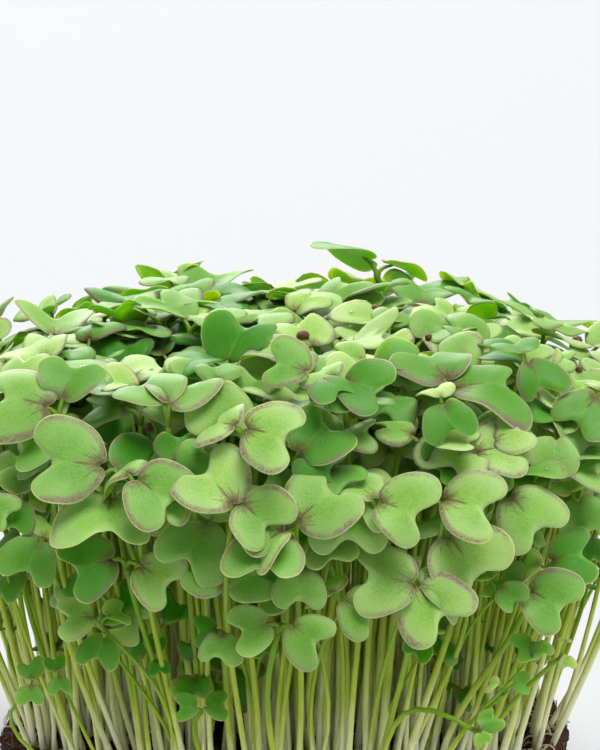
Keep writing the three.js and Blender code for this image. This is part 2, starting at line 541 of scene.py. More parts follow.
@dataclass(frozen=True)
class Viewpoint:
    """Where the stand is seen from, and which ray a pixel of the 600 by 750 frame looks along."""

    elevation: float = 11.5
    distance: float = 525.0
    aim: tuple[float, float, float] = (2.8, 0.0, 92.5)
    lens: float = 136.0
    sensor: float = 36.0
    frame_width: int = 600
    frame_height: int = 750

    def axes(self) -> tuple[Array, Array, Array]:
        """The camera's own directions.

        Returns:
            Right, up and forward.
        """
        slope = math.radians(self.elevation)
        forward = np.array([0.0, math.cos(slope), -math.sin(slope)])
        right = np.array([1.0, 0.0, 0.0])
        return right, np.cross(right, forward), forward

    def eye(self) -> Array:
        """The camera's place in millimetres."""
        return np.array(self.aim) - self.distance * self.axes()[2]

    def ray(self, pixel: Pixel) -> Array:
        """Direction of the ray through a pixel.

        Args:
            pixel: its place from the frame's upper left corner.

        Returns:
            The direction, of length one.
        """
        right, up, forward = self.axes()
        step = self.sensor / self.lens / self.frame_height
        sideways = (pixel[0] - self.frame_width / 2) * step
        upwards = (self.frame_height / 2 - pixel[1]) * step
        return unit(forward + sideways * right + upwards * up)

    def make_camera(self) -> bpy.types.Object:
        """Creates the camera and makes it the scene's own.

        Returns:
            The camera.
        """
        data = bpy.data.cameras.new("camera")
        data.lens = self.lens
        data.sensor_width = self.sensor
        data.clip_start = 0.01
        data.clip_end = 100.0
        camera = bpy.data.objects.new("camera", data)
        camera.location = Vector(self.eye() * MM)
        camera.rotation_euler = (math.radians(90.0 - self.elevation), 0.0, 0.0)
        bpy.context.scene.collection.objects.link(camera)
        bpy.context.scene.camera = camera
        return camera


# -------------------- the stand's plan


@dataclass(frozen=True)
class Crown:
    """The dome that the leaves' middles fill, in millimetres."""

    radius: float = 71.5
    middle: float = 63.5
    rise: float = 42.5
    power: float = 6.0

    def depth(self, points: Array) -> Array:
        """How far out a point is, by the formula of a rounded box turned about Z.

        Args:
            points: the points, along the last axis.

        Returns:
            The depth of each, which is 1 on the dome and less inside it.
        """
        across = np.hypot(points[..., 0], points[..., 1]) / self.radius
        height = np.abs(points[..., 2] - self.middle) / self.rise
        return (across**self.power + height**self.power) ** (1.0 / self.power)

    def meet(self, eye: Array, ray: Array, behind: float) -> Array:
        """Where a ray first meets the dome, and then a distance behind that along the ray.

        A ray that misses the dome is followed to the point where it is nearest.

        Args:
            eye: where the ray starts.
            ray: its direction.
            behind: how far to go on from there.

        Returns:
            The point.
        """
        reach = np.arange(0.6 * np.linalg.norm(eye), 1.4 * np.linalg.norm(eye), 0.25)
        points = eye + reach[:, None] * ray
        inside = self.depth(points) < 1.0
        nearest = int(np.argmax(inside)) if inside.any() else int(np.argmin(self.depth(points)))
        return points[nearest] + behind * ray


@dataclass(frozen=True)
class NodePlan:
    """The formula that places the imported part's own seedlings, in millimetres and degrees."""

    seedlings: int = 48
    heart: float = 1.5
    sown_radius: float = 49.0
    flare: float = 0.36
    tuck: float = 0.05
    crown: float = 101.0
    sag: float = 10.0
    levels: float = 2.4
    level_step: float = 0.436
    level_drop: float = 10.0
    stagger: float = 6.6
    smaller: float = 0.86
    stalk: float = 3.4
    rise: float = 10.0
    yaw_step: float = 129.0
    facing: float = 4.0
    facing_at_edge: float = 26.0
    facing_per_level: float = 12.0


@dataclass
class Stand:
    """Many seedlings at once. Lengths in millimetres; N seedlings with two leaves each.

    A stalk first rises by lift out of the fork, towards where the pair faces, and then follows its
    leaf. Freedom says how far a seedling may give way to its neighbours, and lane is the one direction
    in which it may do so, or zero where it may move freely.
    """

    base: Array
    fork: Array
    along: Array
    normal: Array
    size: Array
    stalk: Array
    lift: Array
    freedom: Array
    lane: Array

    reach: float = 4.4
    disc: float = 6.0
    arrays: ClassVar[tuple[str, ...]] = (
        "base", "fork", "along", "normal", "size", "stalk", "lift", "freedom", "lane",
    )

    @staticmethod
    def joined(stands: list["Stand"]) -> "Stand":
        """Several stands as one."""
        return Stand(*(np.concatenate([getattr(stand, name) for stand in stands]) for name in Stand.arrays))

    def only(self, chosen: Array) -> "Stand":
        """Some of the seedlings."""
        return Stand(*(getattr(self, name)[chosen] for name in self.arrays))

    def facing(self) -> Array:
        """Which way each pair of leaves faces: the mean of its two normals."""
        return unit(self.normal.sum(axis=1))

    def stalk_ends(self) -> Array:
        """Where each blade begins."""
        lifted = self.fork + self.facing() * self.lift[:, None]
        return lifted[:, None] + self.along * self.stalk[..., None]

    def centres(self) -> Array:
        """The middle of each blade."""
        return self.stalk_ends() + self.along * (self.reach * self.size)[..., None]

    def samples(self) -> Array:
        """Seven points on each blade: its middle, its two lobes, its sides and its shoulders.

        Returns:
            Points of shape seedlings by leaves by 7 by 3.
        """
        spots = np.array([
            [0, 4.3], [3.3, 7.7], [-3.3, 7.7], [5.5, 4.9], [-5.5, 4.9], [2.8, 0.4], [-2.8, 0.4],
        ])
        across = np.cross(self.along, self.normal)
        sideways = spots[:, 0] * self.size[..., None]
        forwards = spots[:, 1] * self.size[..., None]
        offset = sideways[..., None] * across[:, :, None] + forwards[..., None] * self.along[:, :, None]
        return self.stalk_ends()[:, :, None] + offset

    def stem_controls(self) -> list[Array]:
        """Control points of each stem: upright out of the block, then leaning to its fork.

        Returns:
            Four arrays of points, from the block to the fork.
        """
        knee = blend(self.base, self.fork, 0.25)
        knee[:, 2] = blend(self.base[:, 2], self.fork[:, 2], 0.55)
        return [self.base, blend(self.base, knee, 2 / 3), blend(self.fork, knee, 2 / 3), self.fork]


def pair_axes(outwards: Array, tilt: Array, heading: Array, rise: Array) -> tuple:
    """Directions of the two leaves of each seedling.

    The pair's own plane is tilted outwards. A leaf grows along its heading in that plane and then
    rises out of it, and its mate grows the opposite way.

    Args:
        outwards: level direction away from the tray's axis, N by 3.
        tilt: of the plane, in radians.
        heading: of the first leaf, in radians.
        rise: of each leaf, N by 2, in radians.

    Returns:
        Directions along the leaves and normals of their blades, each N by 2 by 3.
    """
    sideways = np.cross(UP, outwards)
    facing = np.cos(tilt)[:, None] * UP + np.sin(tilt)[:, None] * outwards
    forward = np.cross(sideways, facing)
    both = heading[:, None] + np.array([0.0, math.pi])
    flat = np.cos(both)[..., None] * forward[:, None] + np.sin(both)[..., None] * sideways[:, None]
    lift = rise[..., None]
    along = np.cos(lift) * flat + np.sin(lift) * facing[:, None]
    normal = np.cos(lift) * facing[:, None] - np.sin(lift) * flat
    return along, normal


def node_stand(plan: NodePlan, soil: float) -> Stand:
    """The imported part's seedlings, on their sunflower spiral.

    The radius is a root of the number and the angle is the number times the golden angle. Three
    levels repeat along the spiral: the higher the level number, the lower the fork, the less it
    leans out and the more its leaves face outwards.

    Args:
        plan: the formula's constants.
        soil: height of the sown face.

    Returns:
        The seedlings, in the order of their nodes.
    """
    index = np.arange(plan.seedlings)
    edge = (index + plan.heart) / (plan.seedlings - 1 + plan.heart)
    radius = plan.sown_radius * np.sqrt(edge)
    angle = np.radians(index * GOLDEN_ANGLE)
    outwards = level_ray(angle)
    level = plan.levels * ((index * plan.level_step) % 1.0)
    reach = radius * (1.0 + (plan.flare - plan.tuck * level) * edge)
    height = plan.crown - plan.sag * edge**1.5 - level * (plan.stagger + plan.level_drop * edge**2)
    tilt = np.radians(plan.facing + (plan.facing_at_edge + plan.facing_per_level * level) * edge)
    rise = np.full((plan.seedlings, 2), math.radians(plan.rise))
    along, normal = pair_axes(outwards, tilt, np.radians(index * plan.yaw_step), rise)
    return Stand(
        base=outwards * radius[:, None] + UP * soil,
        fork=outwards * reach[:, None] + UP * height[:, None],
        along=along,
        normal=normal,
        size=np.tile([1.0, plan.smaller], (plan.seedlings, 1)),
        stalk=np.full((plan.seedlings, 2), plan.stalk),
        lift=np.zeros(plan.seedlings),
        freedom=np.zeros(plan.seedlings),
        lane=np.zeros((plan.seedlings, 3)),
    )


@dataclass(frozen=True)
class Filling:
    """The seedlings that only the visual model has, in millimetres and degrees."""

    sown: int = 640
    sown_radius: float = 51.0
    sown_power: float = 0.42
    first_angle: float = 61.0
    jitter: float = 0.9
    apart: float = 1.9
    crown: float = 101.0
    sag: float = 6.0
    drop: float = 10.0
    drop_at_edge: float = 27.0
    flare: float = 0.37
    tuck: float = 0.16
    level_power: float = 1.25
    late: float = 0.07
    late_height: tuple[float, float] = (14.0, 34.0)
    late_size: tuple[float, float] = (0.5, 0.72)
    uneven_height: float = 1.9
    size: tuple[float, float] = (1.04, 0.17)
    mate_size: tuple[float, float] = (0.74, 0.94)
    stalk: tuple[float, float] = (0.8, 2.6)
    lift: tuple[float, float] = (1.2, 2.8)
    lean: float = 0.11

    def stand(self, dice: Random, taken: Array, soil: float) -> Stand:
        """Draws the filling seedlings.

        They stand on a denser spiral with jitter. Each has a level between 0 and 1, and the
        deeper it lies, the lower and farther out its fork is and the more its leaves face
        outwards. Late ones stay low at the edge. The whole crown leans a little to the front.

        Args:
            dice: the random numbers.
            taken: bases that already stand in the block.
            soil: height of the sown face.

        Returns:
            The seedlings, not yet settled among each other.
        """
        index = np.arange(self.sown)
        radius = self.sown_radius * ((index + 0.5) / self.sown) ** self.sown_power
        angle = np.radians(index * GOLDEN_ANGLE + self.first_angle)
        spot = np.stack([radius * np.cos(angle), radius * np.sin(angle)], axis=-1)
        spot = spot + dice.normal(0.0, self.jitter, spot.shape)
        gap = np.linalg.norm(spot[:, None] - taken[None, :, :2], axis=-1).min(axis=1)
        spot = spot[gap > self.apart]
        count = len(spot)

        radius = np.linalg.norm(spot, axis=-1)
        radius = np.minimum(radius, self.sown_radius)
        outwards = np.concatenate([unit(spot), np.zeros((count, 1))], axis=-1)
        edge = (radius / self.sown_radius) ** 2
        level = dice.uniform(0.0, 1.0, count) ** self.level_power
        late = (dice.uniform(0.0, 1.0, count) < self.late) & (edge > 0.45)
        height = self.crown - self.sag * edge**1.5 - level * (self.drop + self.drop_at_edge * edge**2)
        height = height + dice.normal(0.0, self.uneven_height, count)
        height = height - 0.06 * np.maximum(spot[:, 0] - 12.0, 0.0)
        height = np.where(late, soil + dice.uniform(*self.late_height, count), height)
        reach = radius * (1.0 + (self.flare - self.tuck * level) * edge) + dice.normal(0.0, 1.0, count)
        reach = np.where(late, radius + 2.0, reach)
        aside = np.cross(UP, outwards) * dice.normal(0.0, 2.6, (count, 1))
        tilt = np.radians(3.0 + (13.0 + 44.0 * level) * edge + dice.normal(0.0, 9.0, count))
        rise = np.radians(dice.normal(0.0, 9.0, (count, 2)) + 11.0 + 9.0 * edge[:, None])
        heading = dice.uniform(0.0, 2.0 * math.pi, count)
        along, normal = pair_axes(outwards, tilt, heading, rise)
        along, normal = (unit(turned_about(v, np.array([self.lean, 0.0, 0.0]))) for v in (along, normal))
        large = np.clip(dice.normal(*self.size, count), 0.7, 1.45) * (1.0 - 0.28 * level * edge)
        large = np.where(late, dice.uniform(*self.late_size, count), large)
        small = large * dice.uniform(*self.mate_size, count)
        return Stand(
            base=outwards * radius[:, None] + UP * soil,
            fork=outwards * reach[:, None] + aside + UP * height[:, None],
            along=along,
            normal=normal,
            size=np.stack([large, small], axis=-1),
            stalk=dice.uniform(*self.stalk, (count, 2)),
            lift=dice.uniform(*self.lift, count),
            freedom=np.ones(count),
            lane=np.zeros((count, 3)),
        )


# -------------------- settling


@dataclass(frozen=True)
class Settling:
    """Lets crowded leaves push each other apart until they lie over one another like shingles."""

    steps: int = 110
    quick_steps: int = 10
    search_every: int = 14
    near: int = 34
    clear: float = 1.5
    deepest: float = 3.0
    move_rate: float = 0.8
    turn_rate: float = 1.2
    most_turn: float = 0.12
    shove_rate: float = 0.5
    inward_rate: float = 12.0
    pull: float = 0.03
    stem_room: float = 0.8

    def run(self, stand: Stand, crown: Crown) -> None:
        """Moves the forks and turns the blades, in place.

        Each blade is taken as a disc. Where sample points of one blade come too close to the
        disc of another, or through it, they are pushed along that disc's normal, to the side on
        which their own blade lies. The push moves the fork and turns the blade about it. A stem
        that would pierce a disc pushes it sideways.

        Args:
            stand: the seedlings, whose freedom says how far each may give way.
            crown: the dome that they stay inside.
        """
        home, along_home, normal_home = stand.fork.copy(), stand.along.copy(), stand.normal.copy()
        free = stand.freedom[:, None]
        laned = np.linalg.norm(stand.lane, axis=-1, keepdims=True)
        near = None
        for turn in range(self.steps):
            if turn % self.search_every == 0:
                near = self._neighbours(stand)
            centre, points = stand.centres(), stand.samples()
            force = self._from_discs(stand, near, centre, points)
            shove = self._from_stems(stand, near, centre)
            arm = points - stand.fork[:, None, None]
            torque = np.cross(arm, force).mean(axis=2) / np.maximum((arm**2).sum(-1).mean(-1), 1.0)[..., None]
            spin = self.turn_rate * (free * (1.0 - 0.85 * laned))[..., None] * torque
            length = np.linalg.norm(spin, axis=-1, keepdims=True)
            spin = spin * np.minimum(1.0, self.most_turn / np.maximum(length, 1e-9))
            stand.along = unit(turned_about(stand.along, spin) + self.pull * free[..., None] * along_home)
            normal = turned_about(stand.normal, spin) + self.pull * free[..., None] * normal_home
            stand.normal = unit(normal - (normal * stand.along).sum(-1, keepdims=True) * stand.along)
            move = self.move_rate * force.mean(axis=2).mean(axis=1) + self.shove_rate * shove
            out = np.maximum(crown.depth(centre).max(axis=1) - 1.0, 0.0)[:, None]
            inward = -unit(stand.fork - UP * crown.middle) * out * self.inward_rate
            step = move + inward + self.pull * (home - stand.fork)
            step = blend(step, (step * stand.lane).sum(-1, keepdims=True) * stand.lane, laned)
            stand.fork = stand.fork + free * step

    def _neighbours(self, stand: Stand) -> Array:
        """The numbers of the seedlings whose forks are nearest to each one's."""
        apart = np.linalg.norm(stand.fork[:, None] - stand.fork[None], axis=-1)
        return np.argsort(apart, axis=1)[:, 1 : self.near + 1]

    def tangled(self, stand: Stand, loose: Array) -> Array:
        """Finds seedlings whose blades still go through a blade near by.

        A blade goes through another where the line from its middle to one of its sample points
        crosses the other's disc. Of two such seedlings the loose one has to go, or the later one
        if both are loose.

        Args:
            stand: the settled seedlings.
            loose: True for the seedlings that may be taken away.

        Returns:
            True for each seedling that has to go.
        """
        near = self._neighbours(stand)
        centre, points = stand.centres(), stand.samples()
        plane, disc = centre[near], stand.normal[near]
        reach = 0.85 * (stand.disc * stand.size)[near]
        own = ((centre[:, :, None, None] - plane[:, None]) * disc[:, None]).sum(-1)[:, :, None]
        far = ((points[:, :, :, None, None] - plane[:, None, None]) * disc[:, None, None]).sum(-1)
        share = own / (own - far + 1e-9)
        arm = (points - centre[:, :, None])[:, :, :, None, None]
        crossing = centre[:, :, None, None, None] + arm * share[..., None]
        beside = np.linalg.norm(crossing - plane[:, None, None], axis=-1)
        through = (own * far < 0.0) & (np.abs(far) > 0.25) & (beside < reach[:, None, None])
        first, place = np.nonzero(through.any(axis=(1, 2, 4)))
        second = near[first, place]
        one = np.where(loose[first], first, second)
        later = np.where(loose[first] & loose[second], np.maximum(first, second), one)
        gone = np.zeros(len(loose), bool)
        gone[later] = True
        return gone & loose

    def _from_discs(
        self, stand: Stand, near: Array, centre: Array, points: Array
    ) -> Array:
        """Push on each sample point from the discs of the seedlings near by.

        It grows with how far the point is short of the clear distance on its blade's own side,
        and fades towards the disc's edge.

        Args:
            stand: the seedlings.
            near: the numbers of each one's neighbours.
            centre: the middle of each blade.
            points: the sample points.

        Returns:
            A push for each sample point.
        """
        plane, disc = centre[near], stand.normal[near]
        reach = (stand.disc * stand.size)[near]
        gap = points[:, :, :, None, None] - plane[:, None, None]
        height = (gap * disc[:, None, None]).sum(-1)
        beside = np.sqrt(np.maximum((gap**2).sum(-1) - height**2, 0.0))
        apart = centre[:, :, None, None] - plane[:, None]
        side = np.sign(((stand.normal[:, :, None, None] + disc[:, None]) * apart).sum(-1) + 1e-9)[:, :, None]
        depth = self.clear - side * height
        weight = np.clip((reach[:, None, None] - beside) / (0.3 * reach[:, None, None]), 0.0, 1.0)
        push = np.clip(depth, 0.0, self.deepest) * weight * (depth < 9.0) * side * 0.5
        return np.einsum("nlpkm,nkmd->nlpd", push, disc)

    def _from_stems(self, stand: Stand, near: Array, centre: Array) -> Array:
        """Sideways push on each seedling from stems that would pierce its blades.

        It grows as the crossing of the stem and the blade's plane comes inside the blade's disc.

        Args:
            stand: the seedlings.
            near: the numbers of each one's neighbours.
            centre: the middle of each blade.

        Returns:
            A push for each seedling.
        """
        path = bezier(stand.stem_controls(), 14)[:, 3:]
        gap = centre[:, :, None, None] - path[near][:, None]
        height = np.abs((gap * stand.normal[:, :, None, None]).sum(-1))
        crossing = height.argmin(axis=-1)[..., None]
        gap = np.take_along_axis(gap, crossing[..., None], axis=3)[:, :, :, 0]
        height = np.take_along_axis(height, crossing, axis=3)[..., 0]
        level = gap - (gap * stand.normal[:, :, None]).sum(-1, keepdims=True) * stand.normal[:, :, None]
        beside = np.linalg.norm(level, axis=-1)
        room = (stand.disc * stand.size)[:, :, None] + self.stem_room
        push = np.clip(room - beside, 0.0, 2.0) * (height < 3.0) * 0.12
        return (push[..., None] * unit(level)).sum(axis=(1, 2))


# -------------------- seedlings


@dataclass
class SeedlingMaker:
    """Turns seedlings of a stand into stems, stalks and blades."""

    blades: Blades = field(default_factory=Blades)
    stem_rows: int = 10
    stem_sides: int = 7
    stem_radius: float = 0.54
    stalk_rows: int = 7
    stalk_sides: int = 6
    stalk_radius: float = 0.50

    def patches(
        self,
        stand: Stand,
        habits: LeafHabits,
        wobble: Array,
        girth: Array,
        fineness: Fineness,
    ) -> list[Patch]:
        """Closed shells of some seedlings.

        Stems and stalks are tubes along cubic curves. A stalk leaves the stem along its end and
        runs under the blade's heel.

        Args:
            stand: the seedlings.
            habits: habits of their leaves, two leaves for each seedling in turn.
            wobble: shift of the two middle control points of each stem, N by 2 by 3.
            girth: thickness of each stem against the usual one.
            fineness: how finely the blades are divided.

        Returns:
            Patches with material 0 on the blades and 1 on the stems and stalks.
        """
        count = len(stand.base)
        tint = habits.tint.reshape(count, 2)[:, :1]
        controls = stand.stem_controls()
        controls[0] = controls[0] - UP * 2.5
        controls[1] = controls[1] + wobble[:, 0]
        controls[2] = controls[2] + wobble[:, 1]
        path = bezier(controls, self.stem_rows) * MM
        part = np.linspace(0.0, 1.0, self.stem_rows)
        taper = 1.10 - 0.30 * part
        radii = self.stem_radius * MM * girth[:, None] * taper[None]
        rows = np.broadcast_to(part, radii.shape)
        stems = tubes(path, radii, self.stem_sides, {
            "rise": rows,
            "tint": np.broadcast_to(tint, radii.shape),
            "stalk": np.zeros_like(radii),
        })
        stems.material = 1

        upward = np.repeat(unit(controls[3] - controls[2]), 2, axis=0)
        facing = np.repeat(stand.facing() * stand.lift[:, None], 2, axis=0)
        fork = np.repeat(stand.fork, 2, axis=0)
        along = stand.along.reshape(-1, 3)
        normal = stand.normal.reshape(-1, 3)
        size = stand.size.reshape(-1)
        end = stand.stalk_ends().reshape(-1, 3)
        into = end + along * (1.5 * size)[:, None] - normal * 0.12
        start = fork - upward * 1.8
        bend = fork + upward * 0.4 + facing * 0.5
        stalk_path = bezier([start, bend, end - along * 0.2 - normal * 1.0, into], self.stalk_rows) * MM
        thin = np.linspace(1.05, 0.62, self.stalk_rows)
        thick = self.stalk_radius * MM * np.sqrt(size)[:, None] * thin[None]
        stalks = tubes(stalk_path, thick, self.stalk_sides, {
            "rise": np.ones_like(thick),
            "tint": np.broadcast_to(np.repeat(tint, 2, axis=0), thick.shape),
            "stalk": np.broadcast_to(np.linspace(0.0, 1.0, self.stalk_rows), thick.shape),
        })
        stalks.material = 1

        axes = np.stack([np.cross(along, normal), along, normal], axis=1)
        leaves = self.blades.make(habits, size, end * MM, axes, fineness)
        return [leaves, stems, stalks]


# -------------------- the leaves in front


@dataclass(frozen=True)
class Portrait:
    """A seed leaf of the front, as it stands in the 600 by 750 frame.

    The stalk's end and the notch are pixels, the width is in pixels. Face is how steeply the
    blade's normal points up, swing how far it points to the right, both in degrees, and layer is
    how many millimetres the leaf lies behind the dome.
    """

    stalk: Pixel
    notch: Pixel
    width: float
    face: float = 52.0
    swing: float = 0.0
    layer: float = 1.0
    fold: float = 0.2
    droop: float = 0.35
    blush: float = 0.6
    tint: float = 0.5
    arch: float = -0.012


class Front(Enum):
    """The pairs of seed leaves at the front of the stand: a leaf, and its mate if it shows."""

    PURPLE_HEEL = (Portrait((246, 428), (283, 436), 74, 34, -20, 0, 0.1, 0.3, 1.0, 0.7),)
    SCARRED = (Portrait((232, 503), (205, 472), 78, 37, 8, 0.5, 0.2, 0.4, 0.9, 0.8),)
    TWISTED = (Portrait((243, 505), (261, 521), 76, 36, -6, -0.5, 0.35, 0.2, 0.7, 0.5),)
    TALL_LEFT_LOBE = (Portrait((298, 522), (328, 494), 80, 36, -4, -0.5, 0.15, 0.4, 0.75, 0.5),)
    SADDLE = (Portrait((277, 537), (266, 558), 84, 66, -4, -1.5, 0.2, 0.1, 0.7, 0.35),)
    WIDE_BEHIND = (Portrait((344, 500), (347, 545), 78, 44, 12, 4, 0.1, 0.3, 0.25, 0.55),)
    FOLDED = (Portrait((377, 500), (345, 476), 50, 68, 10, 1, 0.5, 0.2, 0.5, 0.7),
              Portrait((377, 500), (417, 513), 72, 37, -14, -0.5, 0.15, 0.4, 0.6, 0.6))
    BESIDE_RIM = (Portrait((412, 584), (378, 577), 78, 37, 12, -0.5, 0.15, 0.3, 0.45, 0.68),)
    STRONG_RIM = (Portrait((417, 587), (445, 622), 82, 29, -8, -3, 0.1, 0.4, 1.0, 0.75),)
    PAIR_LEFT = (Portrait((446, 499), (487, 508), 72, 37, -10, 0, 0.15, 0.3, 0.9, 0.7),)
    PAIR_RIGHT = (Portrait((512, 498), (535, 524), 76, 34, 4, -0.5, 0.1, 0.3, 0.6, 0.62),)
    UPPER_PAIR = (Portrait((459, 447), (493, 440), 62, 41, -10, 2, 0.15, 0.3, 0.8, 0.8),
                  Portrait((499, 454), (527, 438), 44, 43, -14, 3, 0.0, 0.3, 0.7, 0.8))
    HEART = (Portrait((444, 404), (450, 424), 60, 38, 0, 2, 0.2, 0.4, 0.35, 0.1),)
    RIGHT_TONGUE = (Portrait((556, 440), (551, 462), 54, 43, 10, 4, 0.2, 0.1, 0.1, 0.4),)
    PURPLE_TIP = (Portrait((530, 362), (548, 396), 52, 43, 14, 2, 0.2, 0.4, 1.0, 0.1),)
    BROAD_PALE = (Portrait((455, 385), (425, 345), 78, 64, -4, 4, 0.15, 0.2, 0.7, 0.2),
                  Portrait((455, 385), (497, 380), 60, 70, 4, 1, 0.2, 0.4, 0.9, 0.2))
    FOLDED_HIGH = (Portrait((310, 372), (265, 358), 50, 44, 6, 2, 0.1, 0.2, 1.0, 0.3),
                   Portrait((310, 374), (368, 408), 44, 74, 6, 0, 0.1, 0.3, 0.5, 0.1))
    SWAN = (Portrait((345, 380), (388, 396), 60, 45, -14, 1, 0.2, 0.5, 0.6, 0.1),)
    LEFT_BIG = (Portrait((99, 466), (51, 460), 88, 36, 12, -1, 0.12, 0.3, 0.9, 0.4),)
    LEFT_BIG_MATE = (Portrait((137, 479), (153, 490), 88, 40, -10, -1, 0.3, 0.2, 0.8, 0.4),)
    SMILE = (Portrait((112, 496), (108, 524), 98, 66, -4, 2, 0.2, 0.0, 0.5, 0.55),)
    LEFT_EDGE = (Portrait((46, 412), (6, 402), 84, 41, 6, 2, 0.1, 0.3, 1.0, 0.5),
                 Portrait((66, 398), (80, 356), 66, 43, -4, 3, 0.2, 0.2, 0.5, 0.2))
    LEFT_LOW = (Portrait((108, 556), (76, 566), 70, 30, 10, 1, 0.2, 0.2, 0.7, 0.1),
                Portrait((140, 560), (158, 572), 68, 29, -6, 0, 0.15, 0.3, 0.6, 0.6))
    LEFT_DARK = (Portrait((40, 542), (28, 568), 62, 34, 0, 2, 0.2, 0.3, 0.3, 0.2),)
    LEFT_ROUND = (Portrait((-12, 506), (16, 518), 40, 34, -20, 0, 0.1, 0.4, 0.7, 0.4),)
    FAR_LEFT = (Portrait((56, 436), (4, 452), 60, 44, 4, 5, 0.2, 0.1, 0.1, 0.3),)
    MIDDLE_LOW = (Portrait((204, 527), (188, 556), 80, 36, 6, 2.5, 0.2, 0.2, 0.3, 0.3),)
    DARK_LOW = (Portrait((226, 586), (246, 574), 60, 33, 0, 3, 0.15, 0.3, 0.2, 0.3),
                Portrait((226, 588), (204, 566), 50, 34, 4, 3, 0.15, 0.3, 0.6, 0.3))
    CROSSED = (Portrait((265, 620), (240, 627), 52, 33, 10, 1.5, 0.3, 0.2, 0.3, 0.35),
               Portrait((297, 622), (328, 642), 56, 30, -12, 1, 0.2, 0.4, 0.4, 0.4))
    BELOW_SADDLE = (Portrait((300, 572), (300, 602), 54, 33, 0, 1, 0.15, 0.3, 0.4, 0.4),)
    LOW_DOUBLE = (Portrait((345, 600), (372, 618), 56, 30, -6, 1.5, 0.2, 0.4, 0.5, 0.4),)
    RIGHT_LONG = (Portrait((448, 536), (476, 572), 86, 33, -4, 1.0, 0.12, 0.3, 0.6, 0.8),)
    RIM_RIGHT = (Portrait((530, 590), (568, 610), 66, 34, -12, -1, 0.12, 0.3, 0.8, 0.3),)
    RIGHT_UPPER = (Portrait((552, 560), (580, 552), 56, 33, -20, 1, 0.2, 0.3, 0.6, 0.1),)
    FORKED_RIGHT = (Portrait((578, 500), (592, 530), 56, 40, 12, 3, 0.2, 0.3, 0.2, 0.3),)
    RIGHT_PALE = (Portrait((596, 398), (572, 426), 62, 45, 8, 2, 0.2, 0.4, 0.8, 0.2),)
    TONGUE_LOW = (Portrait((526, 528), (536, 566), 30, 36, 0, 2, 0.1, 0.3, 0.5, 0.3),)
    COUPLE_LOW = (Portrait((502, 588), (520, 606), 34, 33, 0, 1.5, 0.1, 0.3, 0.4, 0.2),)
    HEART_BEHIND = (Portrait((218, 386), (222, 414), 72, 40, 4, 5, 0.2, 0.3, 0.3, 0.6),)
    SHADED_PAIR = (Portrait((300, 452), (334, 420), 66, 34, -6, 4, 0.15, 0.3, 0.5, 0.1),
                   Portrait((300, 456), (342, 470), 58, 36, -6, 4, 0.15, 0.3, 0.2, 0.1))
    PALE_MIDDLE = (Portrait((168, 400), (186, 376), 72, 68, 0, 3, 0.2, 0.3, 0.7, 0.4),
                   Portrait((166, 402), (140, 380), 66, 66, 0, 3, 0.3, 0.3, 0.3, 0.3))

    RAISED = (Portrait((371, 262), (325, 246), 44, 60, 134, 0, 0.2, 0.1, 0.0, 0.15, 0.004),)


class Low(Enum):
    """Late seedlings that stay low among the stems of the front."""

    LEFT_TWINS = (Portrait((31, 682), (28, 668), 28, 30, 0, 3, 0.1, 0.2, 0.5, 0.1),
                  Portrait((31, 682), (30, 708), 29, 44, 0, 3, 0.1, 0.2, 0.5, 0.2))
    LEFT_SLANT = (Portrait((58, 674), (52, 654), 22, 26, 8, 4, 0.1, 0.2, 0.5, 0.0),
                  Portrait((58, 674), (62, 698), 24, 40, 8, 4, 0.1, 0.2, 0.3, 0.2))
    LEFT_HEART = (Portrait((104, 638), (96, 664), 44, 40, 4, 3, 0.2, 0.3, 0.2, 0.1),)
    C_SHAPE = (Portrait((92, 616), (70, 616), 44, 40, 8, 3, 0.2, 0.3, 0.4, 0.6),)
    DARK_COUPLE = (Portrait((158, 656), (156, 640), 22, 24, 0, 9, 0.1, 0.2, 0.2, 0.0),
                   Portrait((158, 656), (160, 674), 22, 30, 0, 9, 0.1, 0.2, 0.2, 0.0))
    SERRATED = (Portrait((196, 706), (176, 706), 26, 40, 6, 5, 0.2, 0.3, 0.2, 0.1),
                Portrait((206, 706), (226, 704), 28, 36, -6, 5, 0.2, 0.3, 0.2, 0.1))
    SMALL_HEART = (Portrait((222, 636), (216, 664), 44, 40, 0, 3, 0.2, 0.3, 0.5, 0.4),
                   Portrait((216, 628), (198, 630), 30, 30, 0, 3, 0.2, 0.3, 0.7, 0.0))
    DARK_BEHIND = (Portrait((262, 640), (268, 660), 26, 36, 0, 7, 0.2, 0.3, 0.1, 0.0),)
    RIGHT_ROUND = (Portrait((535, 642), (515, 652), 28, 34, 0, 1, 0.1, 0.3, 0.2, 0.1),
                   Portrait((537, 642), (544, 662), 24, 44, 0, 1, 0.1, 0.3, 0.1, 0.3))
    RIGHT_TILTED = (Portrait((514, 684), (538, 684), 22, 30, 0, 1, 0.1, 0.3, 0.1, 0.1),)
    RIGHT_YELLOW = (Portrait((568, 656), (568, 682), 18, 26, 20, 2, 0.1, 0.2, 0.2, 0.9),)
    BENT_STEM = (Portrait((484, 730), (504, 713), 27, 34, -10, -3, 0.1, 0.2, 0.0, 0.2),
                 Portrait((486, 736), (491, 750), 19, 40, -10, -3, 0.1, 0.2, 0.0, 0.3))
    UNDER_RIM = (Portrait((424, 640), (410, 660), 30, 36, 0, 5, 0.2, 0.3, 0.1, 0.0),)


